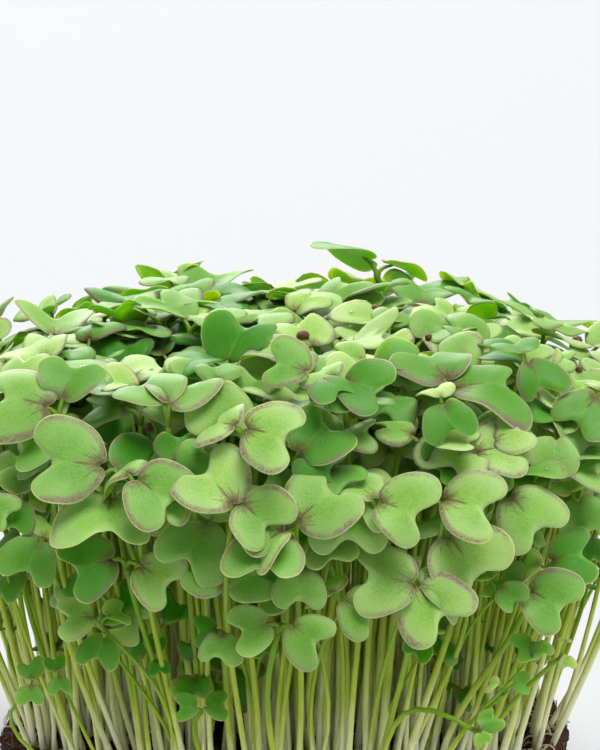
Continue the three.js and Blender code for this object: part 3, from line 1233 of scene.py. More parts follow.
@dataclass
class FrontPlanner:
    """Places the leaves of the front by looking along the camera's rays."""

    viewpoint: Viewpoint
    crown: Crown
    soil: float
    leaf_width: float = 12.4
    notch_reach: float = 5.6
    lift: float = 2.7

    def leaf(self, portrait: Portrait) -> tuple[Array, Array, Array, float]:
        """Finds where the leaf of a portrait is.

        The leaf's direction is the image direction from stalk to notch, plus as much of the view
        direction as makes it lie in the plane of the wanted normal. Its size is such that its
        width, and in part its length, look as they should from the camera.

        Args:
            portrait: how the leaf looks.

        Returns:
            The stalk's end, the leaf's direction, its normal and its size.
        """
        right, up, view = self.viewpoint.axes()
        eye = self.viewpoint.eye()
        step = np.array([portrait.notch[0] - portrait.stalk[0], portrait.stalk[1] - portrait.notch[1]])
        length = float(np.linalg.norm(step))
        flat = (step[0] * right + step[1] * up) / length
        face, swing = math.radians(portrait.face), math.radians(portrait.swing)
        normal = np.array(
            [math.cos(face) * math.sin(swing), -math.cos(face) * math.cos(swing), math.sin(face)]
        )
        along = unit(flat - (flat @ normal) / (view @ normal) * view)
        across = np.cross(along, normal)
        seen_across = float(np.linalg.norm(across - (across @ view) * view))
        seen_along = float(np.linalg.norm(along - (along @ view) * view))
        middle = [0.5 * (stalk + notch) for stalk, notch in zip(portrait.stalk, portrait.notch)]
        ray = self.viewpoint.ray(middle)
        centre = self.crown.meet(eye, ray, 1.6 * portrait.layer)
        seen = self.viewpoint
        pixels_per_mm = seen.frame_height * seen.lens / seen.sensor / float((centre - eye) @ view)
        from_width = portrait.width / (pixels_per_mm * self.leaf_width * max(seen_across, 0.55))
        from_length = length / (pixels_per_mm * self.notch_reach * max(seen_along, 0.45))
        size = 0.75 * from_width + 0.25 * min(from_length, 1.2 * from_width)
        root = centre - along * 3.2 * size
        through = self.viewpoint.ray(portrait.stalk)
        return eye + through * float((root - eye) @ through), along, normal, size

    def pairs(self, group: type[Enum], dice: Random, freedom: float) -> tuple[Stand, LeafHabits]:
        """The seedlings of a group of portraits, with mates drawn for leaves that have none.

        A drawn mate grows away from its leaf and from the camera, and is smaller. The fork lies
        below both leaves, and the stem's base nearer to the axis than the fork.

        Args:
            group: the enumeration whose members hold one or two portraits.
            dice: the random numbers.
            freedom: how far the seedlings may give way.

        Returns:
            The seedlings and their leaves' habits.
        """
        rows = []
        habits = LeafHabits.drawn(dice, 2 * len(group))
        for number, member in enumerate(group):
            portraits = member.value
            root, along, normal, size = self.leaf(portraits[0])
            stalk = dice.uniform(0.7, 1.5)
            if len(portraits) > 1:
                second, other, other_normal, other_size = self.leaf(portraits[1])
                fork = 0.5 * (root - along * stalk + second - other * stalk)
                stalks = [max(0.7, float((root - fork) @ along)), max(0.7, float((second - fork) @ other))]
            else:
                fork = root - along * stalk
                facing = unit(normal + 0.5 * UP)
                other = unit(-along + 1.4 * (along @ facing) * facing + 0.5 * self.viewpoint.axes()[2])
                other_normal = unit(facing - (facing @ other) * other)
                other_size = size * dice.uniform(0.66, 0.8)
                stalks = [stalk, dice.uniform(0.9, 2.0)]
            for place, portrait in enumerate(portraits):
                at = 2 * number + place
                habits.fold[at], habits.droop[at] = portrait.fold, portrait.droop
                habits.blush[at], habits.tint[at] = portrait.blush, portrait.tint
                habits.broad[at], habits.arch[at] = 1.0, portrait.arch
            fork = fork - self.lift * unit(normal + other_normal)
            rows.append((fork, [along, other], [normal, other_normal], [size, other_size], stalks))
        fork = np.array([row[0] for row in rows])
        far = np.linalg.norm(fork[:, :2], axis=1)
        level = fork[:, :2] / np.maximum(far, 1e-6)[:, None]
        radius = np.minimum(far / 1.32, 50.0) - dice.uniform(0.0, 5.0, len(rows))
        base = np.concatenate([level * radius[:, None], np.full((len(rows), 1), self.soil)], axis=1)
        stand = Stand(
            base=base,
            fork=fork,
            along=np.array([row[1] for row in rows]),
            normal=np.array([row[2] for row in rows]),
            size=np.array([row[3] for row in rows]),
            stalk=np.array([row[4] for row in rows]),
            lift=np.full(len(rows), self.lift),
            freedom=np.full(len(rows), freedom),
            lane=np.tile(self.viewpoint.axes()[2], (len(rows), 1)),
        )
        return stand, habits

    def make_way(self, front: Stand, paired: Array, other: Stand) -> Array:
        """How far each other seedling must go back so that it doesn't hide the front's leaves.

        Args:
            front: the front's seedlings.
            paired: True for those whose second leaf shows too.
            other: the seedlings that give way.

        Returns:
            A distance along the view for each of the others, 0 where it hides nothing.
        """
        right, up, view = self.viewpoint.axes()
        picture = np.stack([right, up])
        ahead = np.concatenate([front.centres()[:, 0], front.centres()[paired, 1]])
        large = np.concatenate([front.size[:, 0], front.size[paired, 1]])
        mine = other.centres()
        beside = np.linalg.norm((mine[:, :, None] - ahead[None, None]) @ picture.T, axis=-1)
        nearer = (ahead @ view)[None, None] - (mine @ view)[:, :, None]
        room = 5.0 * (large[None, None] + other.size[:, :, None])
        blocked = (beside < 0.62 * room) & (nearer > -3.0) & (nearer < 45.0)
        return np.where(blocked, nearer + 3.5, 0.0).max(axis=(1, 2))


# -------------------- node trees


def linear(channel: int) -> float:
    """A channel of a screen colour as the linear value that a shader wants."""
    part = channel / 255.0
    return part / 12.92 if part <= 0.04045 else ((part + 0.055) / 1.055) ** 2.4


def srgb(colour: Colour) -> tuple[float, float, float, float]:
    """An opaque screen colour as linear values."""
    red, green, blue = (linear(channel) for channel in colour)
    return red, green, blue, 1.0


@dataclass
class Wiring:
    """A node tree under construction, with short calls for the nodes that it is made of.

    Any value in these calls may be a constant or the output of another node.
    """

    tree: bpy.types.NodeTree

    def feed(self, socket: Socket, value: object) -> None:
        """Links a socket to an output, or sets its constant.

        Args:
            socket: the socket.
            value: what goes into it.
        """
        if isinstance(value, bpy.types.NodeSocket):
            self.tree.links.new(value, socket)
        else:
            socket.default_value = value

    def node(self, kind: str, settings: dict[str, object], inputs: dict[object, object]) -> bpy.types.Node:
        """Adds a node.

        Args:
            kind: its type, without the words ShaderNode in front.
            settings: its own properties.
            inputs: what goes into its sockets, by their names or numbers.

        Returns:
            The new node.
        """
        node = self.tree.nodes.new(f"ShaderNode{kind}")
        for name, value in settings.items():
            setattr(node, name, value)
        for key, value in inputs.items():
            self.feed(node.inputs[key], value)
        return node

    def math(self, operation: str, *values: object, clamp: bool = False) -> Socket:
        """One step of arithmetic, clamped to 0 to 1 if that is asked for."""
        settings = {"operation": operation, "use_clamp": clamp}
        return self.node("Math", settings, dict(enumerate(values))).outputs[0]

    def times(self, value: object, by: object, plus: object = 0.0, clamp: bool = False) -> Socket:
        """A value times a factor, plus an offset."""
        return self.math("MULTIPLY_ADD", value, by, plus, clamp=clamp)

    def attribute(self, name: str) -> Socket:
        """A mesh attribute's value."""
        return self.node("Attribute", {"attribute_name": name}, {}).outputs["Fac"]

    def noise(self, scale: object, detail: float, roughness: float = 0.5) -> Socket:
        """Noise over the object's own coordinates.

        Args:
            scale: how fine it is.
            detail: how many finer noises are added.
            roughness: how strong these are.

        Returns:
            A value between 0 and 1.
        """
        place = self.node("TexCoord", {}, {}).outputs["Object"]
        inputs = {"Scale": scale, "Detail": detail, "Roughness": roughness, "Vector": place}
        return self.node("TexNoise", {}, inputs).outputs[0]

    def step(self, value: object, low: object, high: object, start: float = 0.0, end: float = 1.0) -> Socket:
        """A smooth step from start to end while the value runs from low to high."""
        inputs = {"Value": value, "From Min": low, "From Max": high, "To Min": start, "To Max": end}
        return self.node("MapRange", {"interpolation_type": "SMOOTHSTEP"}, inputs).outputs["Result"]

    def mix(self, share: object, first: object, second: object) -> Socket:
        """A mix of two colours: the first where share is 0 and the second where it is 1."""
        return self.node("Mix", {"data_type": "RGBA"}, {0: share, 6: first, 7: second}).outputs[2]

    def coat(self, under: object, mask: object, share: float, colour: Colour) -> Socket:
        """A colour with another laid over it, as thick as a share of the mask."""
        return self.mix(self.times(mask, share), under, srgb(colour))

    def group(self, group: bpy.types.NodeTree, **inputs: object) -> Sockets:
        """What a node that runs a group puts out."""
        return self.node("Group", {"node_tree": group}, inputs).outputs

    def bump(self, height: object, strength: float, distance: float) -> Socket:
        """A normal bent by a height."""
        inputs = {"Strength": strength, "Distance": distance, "Height": height}
        return self.node("Bump", {}, inputs).outputs["Normal"]


def new_group(
    name: str, inputs: dict[str, float], outputs: tuple[str, ...]
) -> tuple[Wiring, Sockets, Sockets]:
    """An empty node group with its sockets.

    Args:
        name: the group's name.
        inputs: its inputs and their defaults.
        outputs: names of its outputs.

    Returns:
        The group's wiring, what its inputs bring in, and where its results go.
    """
    tree = bpy.data.node_groups.new(name, "ShaderNodeTree")
    for key, default in inputs.items():
        socket = tree.interface.new_socket(name=key, in_out="INPUT", socket_type="NodeSocketFloat")
        socket.default_value = default
    for key in outputs:
        tree.interface.new_socket(name=key, in_out="OUTPUT", socket_type="NodeSocketFloat")
    return Wiring(tree), tree.nodes.new("NodeGroupInput").outputs, tree.nodes.new("NodeGroupOutput").inputs


def grain_group() -> bpy.types.NodeTree:
    """Shared surface effect: broad mottling, fine cells, and the two together as a height.

    Each is a smooth step of noise. The height is 0.35 of the mottling plus the cells times
    their contrast.

    Returns:
        The group, whose outputs are Mottle, Cells and Height.
    """
    defaults = {"Broad": 180.0, "Fine": 2600.0, "Contrast": 1.0}
    wiring, inputs, outputs = new_group("SurfaceGrain", defaults, ("Mottle", "Cells", "Height"))
    mottle = wiring.step(wiring.noise(inputs["Broad"], 3.0), 0.32, 0.68)
    cells = wiring.step(wiring.noise(inputs["Fine"], 2.0), 0.3, 0.7)
    height = wiring.times(mottle, 0.35, wiring.times(cells, inputs["Contrast"]))
    for key, value in (("Mottle", mottle), ("Cells", cells), ("Height", height)):
        wiring.feed(outputs[key], value)
    return wiring.tree


def marks_group() -> bpy.types.NodeTree:
    """The leaf's own effect: where the mauve rim, the pale edge, the veins and the purple heel lie.

    The rim is a step outwards along rho. Its start wanders with two noises and moves inwards
    with blush, and it is patchy and speckled. The veins are a stripe along the midrib and rays
    that fan out from the stalk: a step of the absolute sine of the angle about it. The heel is
    a step of the distance from the stalk, feathered by noise and by the rays, and a streak.

    Returns:
        The group, whose outputs are Rim, Edge, Vein and Heel.
    """
    wiring, inputs, outputs = new_group("LeafMarks", {"Unevenness": 0.58}, ("Rim", "Edge", "Vein", "Heel"))
    rho, blush, across, along = (wiring.attribute(name) for name in ("rho", "blush", "across", "along"))
    beside = wiring.math("ABSOLUTE", across)

    inner = wiring.times(wiring.noise(260.0, 2.0), 0.14, wiring.times(blush, -0.12, 0.752))
    inner = wiring.times(wiring.noise(900.0, 3.0, 0.6), 0.12, inner)
    rim = wiring.step(rho, inner, wiring.math("ADD", inner, 0.12))
    rim = wiring.times(rim, wiring.step(rho, 0.96, 0.995, 1.0, 0.35))
    patchy = wiring.step(wiring.noise(300.0, 2.0), 0.36, 0.60)
    strength = wiring.times(patchy, inputs["Unevenness"], 0.50)
    strength = wiring.times(wiring.step(blush, 0.02, 0.6), strength, clamp=True)
    speckle = wiring.step(wiring.noise(3200.0, 2.0, 0.6), 0.38, 0.60, 0.40, 1.0)
    rim = wiring.times(wiring.times(rim, strength), speckle, clamp=True)

    far = wiring.math("SQRT", wiring.times(across, across, wiring.times(along, along)))
    side = wiring.math("ARCTAN2", across, wiring.math("ADD", along, 0.6))
    fan = wiring.math("ABSOLUTE", wiring.math("SINE", wiring.times(far, 0.35, wiring.times(side, 6.0))))
    rays = wiring.times(wiring.step(fan, 0.0, 0.24, 1.0, 0.0), wiring.step(far, 7.5, 1.5))
    midrib = wiring.times(wiring.step(beside, 0.08, 0.42, 1.0, 0.0), wiring.step(along, 7.0, 1.0))
    vein = wiring.math("MAXIMUM", midrib, wiring.times(rays, 0.5))

    feather = wiring.times(wiring.noise(1500.0, 3.0, 0.7), 3.0, wiring.times(rays, -1.5, far))
    heel = wiring.step(feather, 1.7, 4.0, 1.0, 0.0)
    heel = wiring.times(heel, wiring.step(blush, -0.2, 0.7), clamp=True)
    streak = wiring.times(wiring.step(beside, 0.05, 0.30, 1.0, 0.0), wiring.step(along, 4.6, 2.4))
    heel = wiring.math("MAXIMUM", heel, wiring.times(streak, wiring.step(blush, 0.0, 0.8)))
    edge = wiring.step(rho, 0.962, 0.992)
    for key, value in (("Rim", rim), ("Edge", edge), ("Vein", vein), ("Heel", heel)):
        wiring.feed(outputs[key], value)
    return wiring.tree


# -------------------- finishes


@dataclass(frozen=True)
class Finish:
    """A plain finish: one Principled shader, whose constants are set on its own sockets."""

    name: str
    constants: dict[str, object]

    def make(self, grain: bpy.types.NodeTree) -> bpy.types.Material:
        """Makes the finish's material.

        Args:
            grain: the node group that finishes share.

        Returns:
            The new material.
        """
        material = bpy.data.materials.new(self.name)
        material.use_nodes = True
        shader = material.node_tree.nodes["Principled BSDF"]
        for key, value in self.constants.items():
            shader.inputs[key].default_value = value
        self.dress(Wiring(material.node_tree), shader.inputs, grain)
        return material

    def dress(self, wiring: Wiring, shader: Sockets, grain: bpy.types.NodeTree) -> None:
        """Feeds the shader what changes over the surface, which is nothing on a plain finish."""


@dataclass(frozen=True)
class GrainedFinish(Finish):
    """A finish with mottling and fine cells.

    Scales are the grain's broad scale, its fine scale and the contrast of its cells. Rough names
    the output of the grain that makes the surface rougher, how much it adds, and what it is added
    to. Relief is the strength of the bump and its height in metres, if there is one.
    """

    scales: tuple[float, float, float]
    rough: tuple[str, float, float]
    relief: tuple[float, float] | None = None

    def surface(self, wiring: Wiring, grain: Sockets) -> tuple[Socket, Socket]:
        """What a kind of surface looks like.

        Args:
            wiring: the material's node tree.
            grain: what the grain puts out.

        Returns:
            The colour, and the height that the relief shows.
        """
        raise NotImplementedError

    def dress(self, wiring: Wiring, shader: Sockets, grain: bpy.types.NodeTree) -> None:
        """Feeds the shader the surface's colour, roughness and relief.

        Args:
            wiring: the material's node tree.
            shader: the shader's inputs.
            grain: the node group that finishes share.
        """
        broad, fine, contrast = self.scales
        masks = wiring.group(grain, Broad=broad, Fine=fine, Contrast=contrast)
        colour, height = self.surface(wiring, masks)
        source, more, least = self.rough
        wiring.feed(shader["Base Color"], colour)
        wiring.feed(shader["Roughness"], wiring.times(masks[source], more, least))
        if self.relief is not None:
            wiring.feed(shader["Normal"], wiring.bump(height, *self.relief))


@dataclass(frozen=True)
class SeedLeaf(GrainedFinish):
    """Waxy seed leaf: green above, yellow-green below, with a mauve rim and a pale edge."""

    # deep and light are the ends of the tint's mix; the lowered tint of low filling leaves makes the deep
    # green partly painted shade.
    deep: Colour = (46, 126, 4)
    light: Colour = (158, 202, 84)
    mottled: Colour = (62, 132, 10)
    # The bloom and cell colours are partly real pale wax and partly painted sheen and glints.
    bloom_and_sheen: Colour = (188, 212, 150)
    cell: Colour = (194, 220, 150)
    vein: Colour = (172, 206, 96)
    rim: Colour = (140, 92, 112)
    heel: Colour = (96, 52, 44)
    edge: Colour = (206, 210, 160)
    # The lower face's bright yellow-green is partly its own paler colour and partly painted light shining
    # through the leaf.
    below_deep: Colour = (128, 184, 14)
    below_light: Colour = (180, 216, 36)
    below_vein: Colour = (178, 206, 80)
    below_rim: Colour = (150, 104, 108)

    def surface(self, wiring: Wiring, grain: Sockets) -> tuple[Socket, Socket]:
        """The two faces' colours, and veins sunk into the grain.

        The upper face is a mix of two greens by the leaf's tint, which is lowered on low filling
        leaves as painted shade. Bloom and pale cells, partly real wax and partly painted sheen and
        glints, grow with the tint, and the marks lie over them. The lower face is told by the value
        under; its bright yellow-green is partly painted light shining through the leaf.

        Args:
            wiring: the material's node tree.
            grain: what the grain puts out.

        Returns:
            The colour and the height.
        """
        marks = wiring.group(marks_group())
        tint = wiring.attribute("tint")
        # painted sheen: bloom and pale cells grow with the tint, so the high, lit leaves get most of them;
        # partly real wax
        waxy_and_sheen = wiring.times(tint, 0.62)
        # painted shade: low filling leaves have a lowered tint and lean to the deep green
        top = wiring.mix(tint, srgb(self.deep), srgb(self.light))
        top = wiring.coat(top, grain["Mottle"], 0.32, self.mottled)
        outwards = wiring.step(wiring.attribute("rho"), 0.25, 0.95)
        top = wiring.mix(wiring.times(outwards, waxy_and_sheen), top, srgb(self.bloom_and_sheen))
        top = wiring.coat(top, wiring.times(grain["Cells"], waxy_and_sheen), 0.55, self.cell)
        top = wiring.coat(top, marks["Vein"], 0.18, self.vein)
        top = wiring.coat(top, marks["Rim"], 0.92, self.rim)
        top = wiring.coat(top, marks["Heel"], 0.78, self.heel)
        top = wiring.coat(top, marks["Edge"], 0.5, self.edge)
        # painted light: the lower face's bright yellow-green stands partly for light shining through the leaf
        below = wiring.mix(tint, srgb(self.below_deep), srgb(self.below_light))
        below = wiring.coat(below, marks["Vein"], 0.30, self.below_vein)
        below = wiring.coat(below, marks["Rim"], 0.4, self.below_rim)
        under = wiring.step(wiring.attribute("under"), 0.35, 0.65)
        return wiring.mix(under, top, below), wiring.times(marks["Vein"], -1.2, grain["Height"])


@dataclass(frozen=True)
class Stem(GrainedFinish):
    """Watery stem: almost white where it leaves the block, yellow-green at its fork; the darker green high up
    is partly painted shade under the leaves.
    """

    foot: Colour = (255, 255, 216)
    # The middle and fork greens are partly the stem's own greening and partly painted shade under the leaves.
    middle: Colour = (186, 204, 66)
    fork: Colour = (108, 150, 16)
    pale: Colour = (196, 210, 96)
    stalk: Colour = (104, 146, 48)

    def surface(self, wiring: Wiring, grain: Sockets) -> tuple[Socket, Socket]:
        """Two steps up the stem from pale to green, the green top partly painted shade under the leaves.
        Paler by the tint, which is lowered on low filling seedlings as painted shade, and darker along a
        leaf's stalk.

        Args:
            wiring: the material's node tree.
            grain: what the grain puts out.

        Returns:
            The colour and the height.
        """
        rise = wiring.times(grain["Mottle"], 0.10, wiring.attribute("rise"))
        # painted shade: the darker middle and fork colours stand partly for shade under the leaves
        colour = wiring.mix(wiring.step(rise, 0.08, 0.46), srgb(self.foot), srgb(self.middle))
        colour = wiring.mix(wiring.step(rise, 0.26, 0.86), colour, srgb(self.fork))
        colour = wiring.coat(colour, wiring.attribute("tint"), 0.20, self.pale)
        colour = wiring.coat(colour, wiring.step(wiring.attribute("stalk"), 0.0, 0.8), 0.65, self.stalk)
        return colour, grain["Height"]


@dataclass(frozen=True)
class Coir(GrainedFinish):
    """Damp coir: dark red-brown with paler fibres and crumbs."""

    dark: Colour = (58, 30, 20)
    brown: Colour = (98, 54, 36)
    dark_cells: Colour = (34, 18, 12)
    strand: Colour = (112, 66, 40)
    pale_strand: Colour = (168, 112, 70)

    def surface(self, wiring: Wiring, grain: Sockets) -> tuple[Socket, Socket]:
        """A mottled brown with dark cells, and the fibres' own brown where the value fibre is 1.

        Args:
            wiring: the material's node tree.
            grain: what the grain puts out.

        Returns:
            The colour and the height.
        """
        soil = wiring.mix(grain["Mottle"], srgb(self.dark), srgb(self.brown))
        soil = wiring.coat(soil, grain["Cells"], 0.55, self.dark_cells)
        strand = wiring.mix(wiring.attribute("tint"), srgb(self.strand), srgb(self.pale_strand))
        return wiring.mix(wiring.attribute("fibre"), soil, strand), grain["Height"]


@dataclass(frozen=True)
class RootHair(GrainedFinish):
    """Pale downy root hair."""

    white: Colour = (226, 220, 200)
    shaded: Colour = (198, 186, 160)

    def surface(self, wiring: Wiring, grain: Sockets) -> tuple[Socket, Socket]:
        """A mottled off-white."""
        return wiring.mix(grain["Mottle"], srgb(self.white), srgb(self.shaded)), grain["Height"]


@dataclass(frozen=True)
class TrayPlastic(GrainedFinish):
    """Dark moulded plastic with a fine satin grain and a little dust."""

    black: Colour = (38, 41, 40)
    worn: Colour = (46, 49, 47)
    dust: Colour = (120, 116, 104)

    def surface(self, wiring: Wiring, grain: Sockets) -> tuple[Socket, Socket]:
        """A mottled black with specks of dust where a noise is high.

        Args:
            wiring: the material's node tree.
            grain: what the grain puts out.

        Returns:
            The colour and the height.
        """
        colour = wiring.mix(grain["Mottle"], srgb(self.black), srgb(self.worn))
        specks = wiring.step(wiring.noise(1400.0, 4.0, 0.7), 0.62, 0.72)
        return wiring.coat(colour, specks, 0.25, self.dust), grain["Cells"]


@dataclass(frozen=True)
class SeedCoat(GrainedFinish):
    """Brown seed coat, streaked darker."""

    brown: Colour = (122, 62, 40)
    dark: Colour = (74, 34, 24)
    speck: Colour = (150, 92, 62)

    def surface(self, wiring: Wiring, grain: Sockets) -> tuple[Socket, Socket]:
        """A mottled brown with paler cells."""
        colour = wiring.mix(grain["Mottle"], srgb(self.brown), srgb(self.dark))
        return wiring.coat(colour, grain["Cells"], 0.4, self.speck), grain["Height"]


SEED_LEAF = SeedLeaf(
    "seed_leaf",
    {"Subsurface Weight": 0.72, "Subsurface Radius": (0.8, 1.0, 0.12), "Subsurface Scale": 0.0016,
     "Specular IOR Level": 0.22, "Sheen Weight": 0.06, "Sheen Roughness": 0.4},
    scales=(170.0, 3400.0, 0.8), rough=("Mottle", 0.10, 0.44), relief=(0.18, 0.00008),
)
STEM = Stem(
    "stem",
    {"Subsurface Weight": 0.5, "Subsurface Radius": (1.0, 1.0, 0.3), "Subsurface Scale": 0.002,
     "Specular IOR Level": 0.3},
    scales=(120.0, 1600.0, 0.5), rough=("Mottle", 0.12, 0.34), relief=(0.2, 0.0001),
)
COIR = Coir(
    "coir", {"Specular IOR Level": 0.35},
    scales=(260.0, 1900.0, 1.0), rough=("Cells", 0.25, 0.62), relief=(0.9, 0.0006),
)
ROOT_HAIR = RootHair(
    "root_hair", {"Subsurface Weight": 0.2, "Subsurface Scale": 0.001},
    scales=(400.0, 2200.0, 0.5), rough=("Cells", 0.2, 0.6),
)
TRAY_PLASTIC = TrayPlastic(
    "tray_plastic", {"Specular IOR Level": 0.45},
    scales=(60.0, 3000.0, 1.0), rough=("Mottle", 0.14, 0.42), relief=(0.25, 0.00005),
)
SEED_COAT = SeedCoat(
    "seed_coat", {}, scales=(700.0, 5200.0, 1.0), rough=("Cells", 0.2, 0.38), relief=(0.5, 0.0001),
)
WATER = Finish(
    "droplet",
    {"Base Color": srgb((236, 244, 232)), "Roughness": 0.03, "Transmission Weight": 0.9, "IOR": 1.33},
)
PAPER = Finish("ground", {"Base Color": srgb((201, 202, 205)), "Roughness": 0.9, "Specular IOR Level": 0.1})


@dataclass
class Finishes:
    """The node group that finishes share, and the materials made so far."""

    grain: bpy.types.NodeTree = field(default_factory=grain_group)
    made: dict[str, bpy.types.Material] = field(default_factory=dict)

    def of(self, finish: Finish) -> bpy.types.Material:
        """The material of a finish, made when it is first asked for."""
        if finish.name not in self.made:
            self.made[finish.name] = finish.make(self.grain)
        return self.made[finish.name]


# -------------------- tray and block


def arc(centre: Pixel, radius: float, start: float, end: float, steps: int) -> list[list[float]]:
    """Points of a circle's arc between two angles in degrees, as radius and height."""
    turn = np.radians(np.linspace(start, end, steps))
    return [[centre[0] + radius * math.cos(a), centre[1] + radius * math.sin(a)] for a in turn]


@dataclass
class Tray:
    """The tray: a smooth turned wall with a rolled lip and round drain holes. Millimetres."""

    foot: float = 50.5
    mouth: float = 55.2
    wall: float = 1.2
    height: float = 15.0
    heel: float = 3.0
    lip: float = 57.2
    lip_depth: float = 2.2
    drain: float = 2.0
    drain_sides: int = 40
    drains: tuple[tuple[float, int], ...] = ((18.0, 4), (38.0, 8))
    spokes: int = 192

    def inside(self, height: float) -> float:
        """Inside radius of the wall at a height, along the wall's draft."""
        part = (height - self.heel) / (self.height - self.heel)
        return blend(self.foot + 1.4, self.mouth, part) - self.wall

    def profile(self) -> Array:
        """The wall's section, from the underside's middle round to the floor's.

        Straight runs join arcs at the foot's two corners, under and over the lip, and where the
        lip turns in.

        Returns:
            Points of radius and height.
        """
        top, lip, low = self.height, self.lip, self.height - self.lip_depth
        inner = self.inside(self.heel)
        points = [[r, 0.0] for r in (6.0, 14.5, 22.0, 29.0, 34.5, 41.5, 44.5, 47.0)]
        points += arc((self.foot - 1.6, 1.9), 1.9, -90.0, -12.0, 7)
        points += [[self.foot + 0.7, 2.2], [self.foot + 1.5, 3.3]]
        points += [[blend(self.foot + 1.5, self.mouth, part), z] for part, z in ((0.35, 6.5), (0.7, 9.8))]
        points += [[self.mouth - 0.15, low - 0.4], [self.mouth + 0.15, low - 0.08]]
        points += arc((lip - 0.55, low + 0.45), 0.5, -90.0, -5.0, 5)
        points += arc((lip - 0.85, top - 0.85), 0.85, 5.0, 90.0, 7)
        points += arc((self.mouth - self.wall + 0.65, top - 0.65), 0.65, 90.0, 180.0, 6)
        points += [[self.inside(11.0), 11.0], [self.inside(7.0), 7.0], [inner, self.heel + 0.6]]
        points += arc((inner - 1.7, self.wall + 1.6), 1.6, 0.0, -90.0, 6)
        points += [[r, self.wall] for r in (46.0, 43.0, 41.3, 34.2, 28.5, 22.3, 14.2, 5.0)]
        return np.array(points)

    def make(self, finishes: Finishes) -> Piece:
        """The tray as one closed shell, drilled.

        Args:
            finishes: where its material comes from.

        Returns:
            The tray's piece.
        """
        profile = self.profile()
        walls = turned(profile, self.spokes, math.pi / self.spokes)
        points = np.concatenate([walls, [[0.0, 0.0, 0.0], [0.0, 0.0, self.wall]]]) * MM
        shell = Patch(points, *shell_faces(len(profile), self.spokes))
        tray = make_piece("tray_shell", [shell], [finishes.of(TRAY_PLASTIC)])
        self.drilled(tray)
        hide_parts("tray")
        return tray

    def drilled(self, tray: Piece) -> None:
        """Cuts the drain holes out of the floor with one tool made of all their cylinders.

        Args:
            tray: the undrilled tray.
        """
        tools = []
        for radius, count in self.drains:
            for number in range(count):
                angle = 2.0 * math.pi * number / count
                bpy.ops.mesh.primitive_cylinder_add(
                    vertices=self.drain_sides, radius=self.drain * MM, depth=4.0 * MM,
                    location=(radius * math.cos(angle) * MM, radius * math.sin(angle) * MM, 0.6 * MM),
                    rotation=(0.0, 0.0, angle + 0.043),
                )
                tools.append(bpy.context.object)
        bpy.ops.object.select_all(action="DESELECT")
        for tool in tools:
            tool.select_set(True)
        bpy.context.view_layer.objects.active = tools[0]
        bpy.ops.object.join()
        drill = bpy.context.object
        cut = tray.modifiers.new("drains", "BOOLEAN")
        cut.object, cut.operation, cut.solver = drill, "DIFFERENCE", "EXACT"
        bpy.context.view_layer.objects.active = tray
        bpy.ops.object.select_all(action="DESELECT")
        tray.select_set(True)
        bpy.ops.object.modifier_apply(modifier=cut.name)
        bpy.data.objects.remove(drill, do_unlink=True)


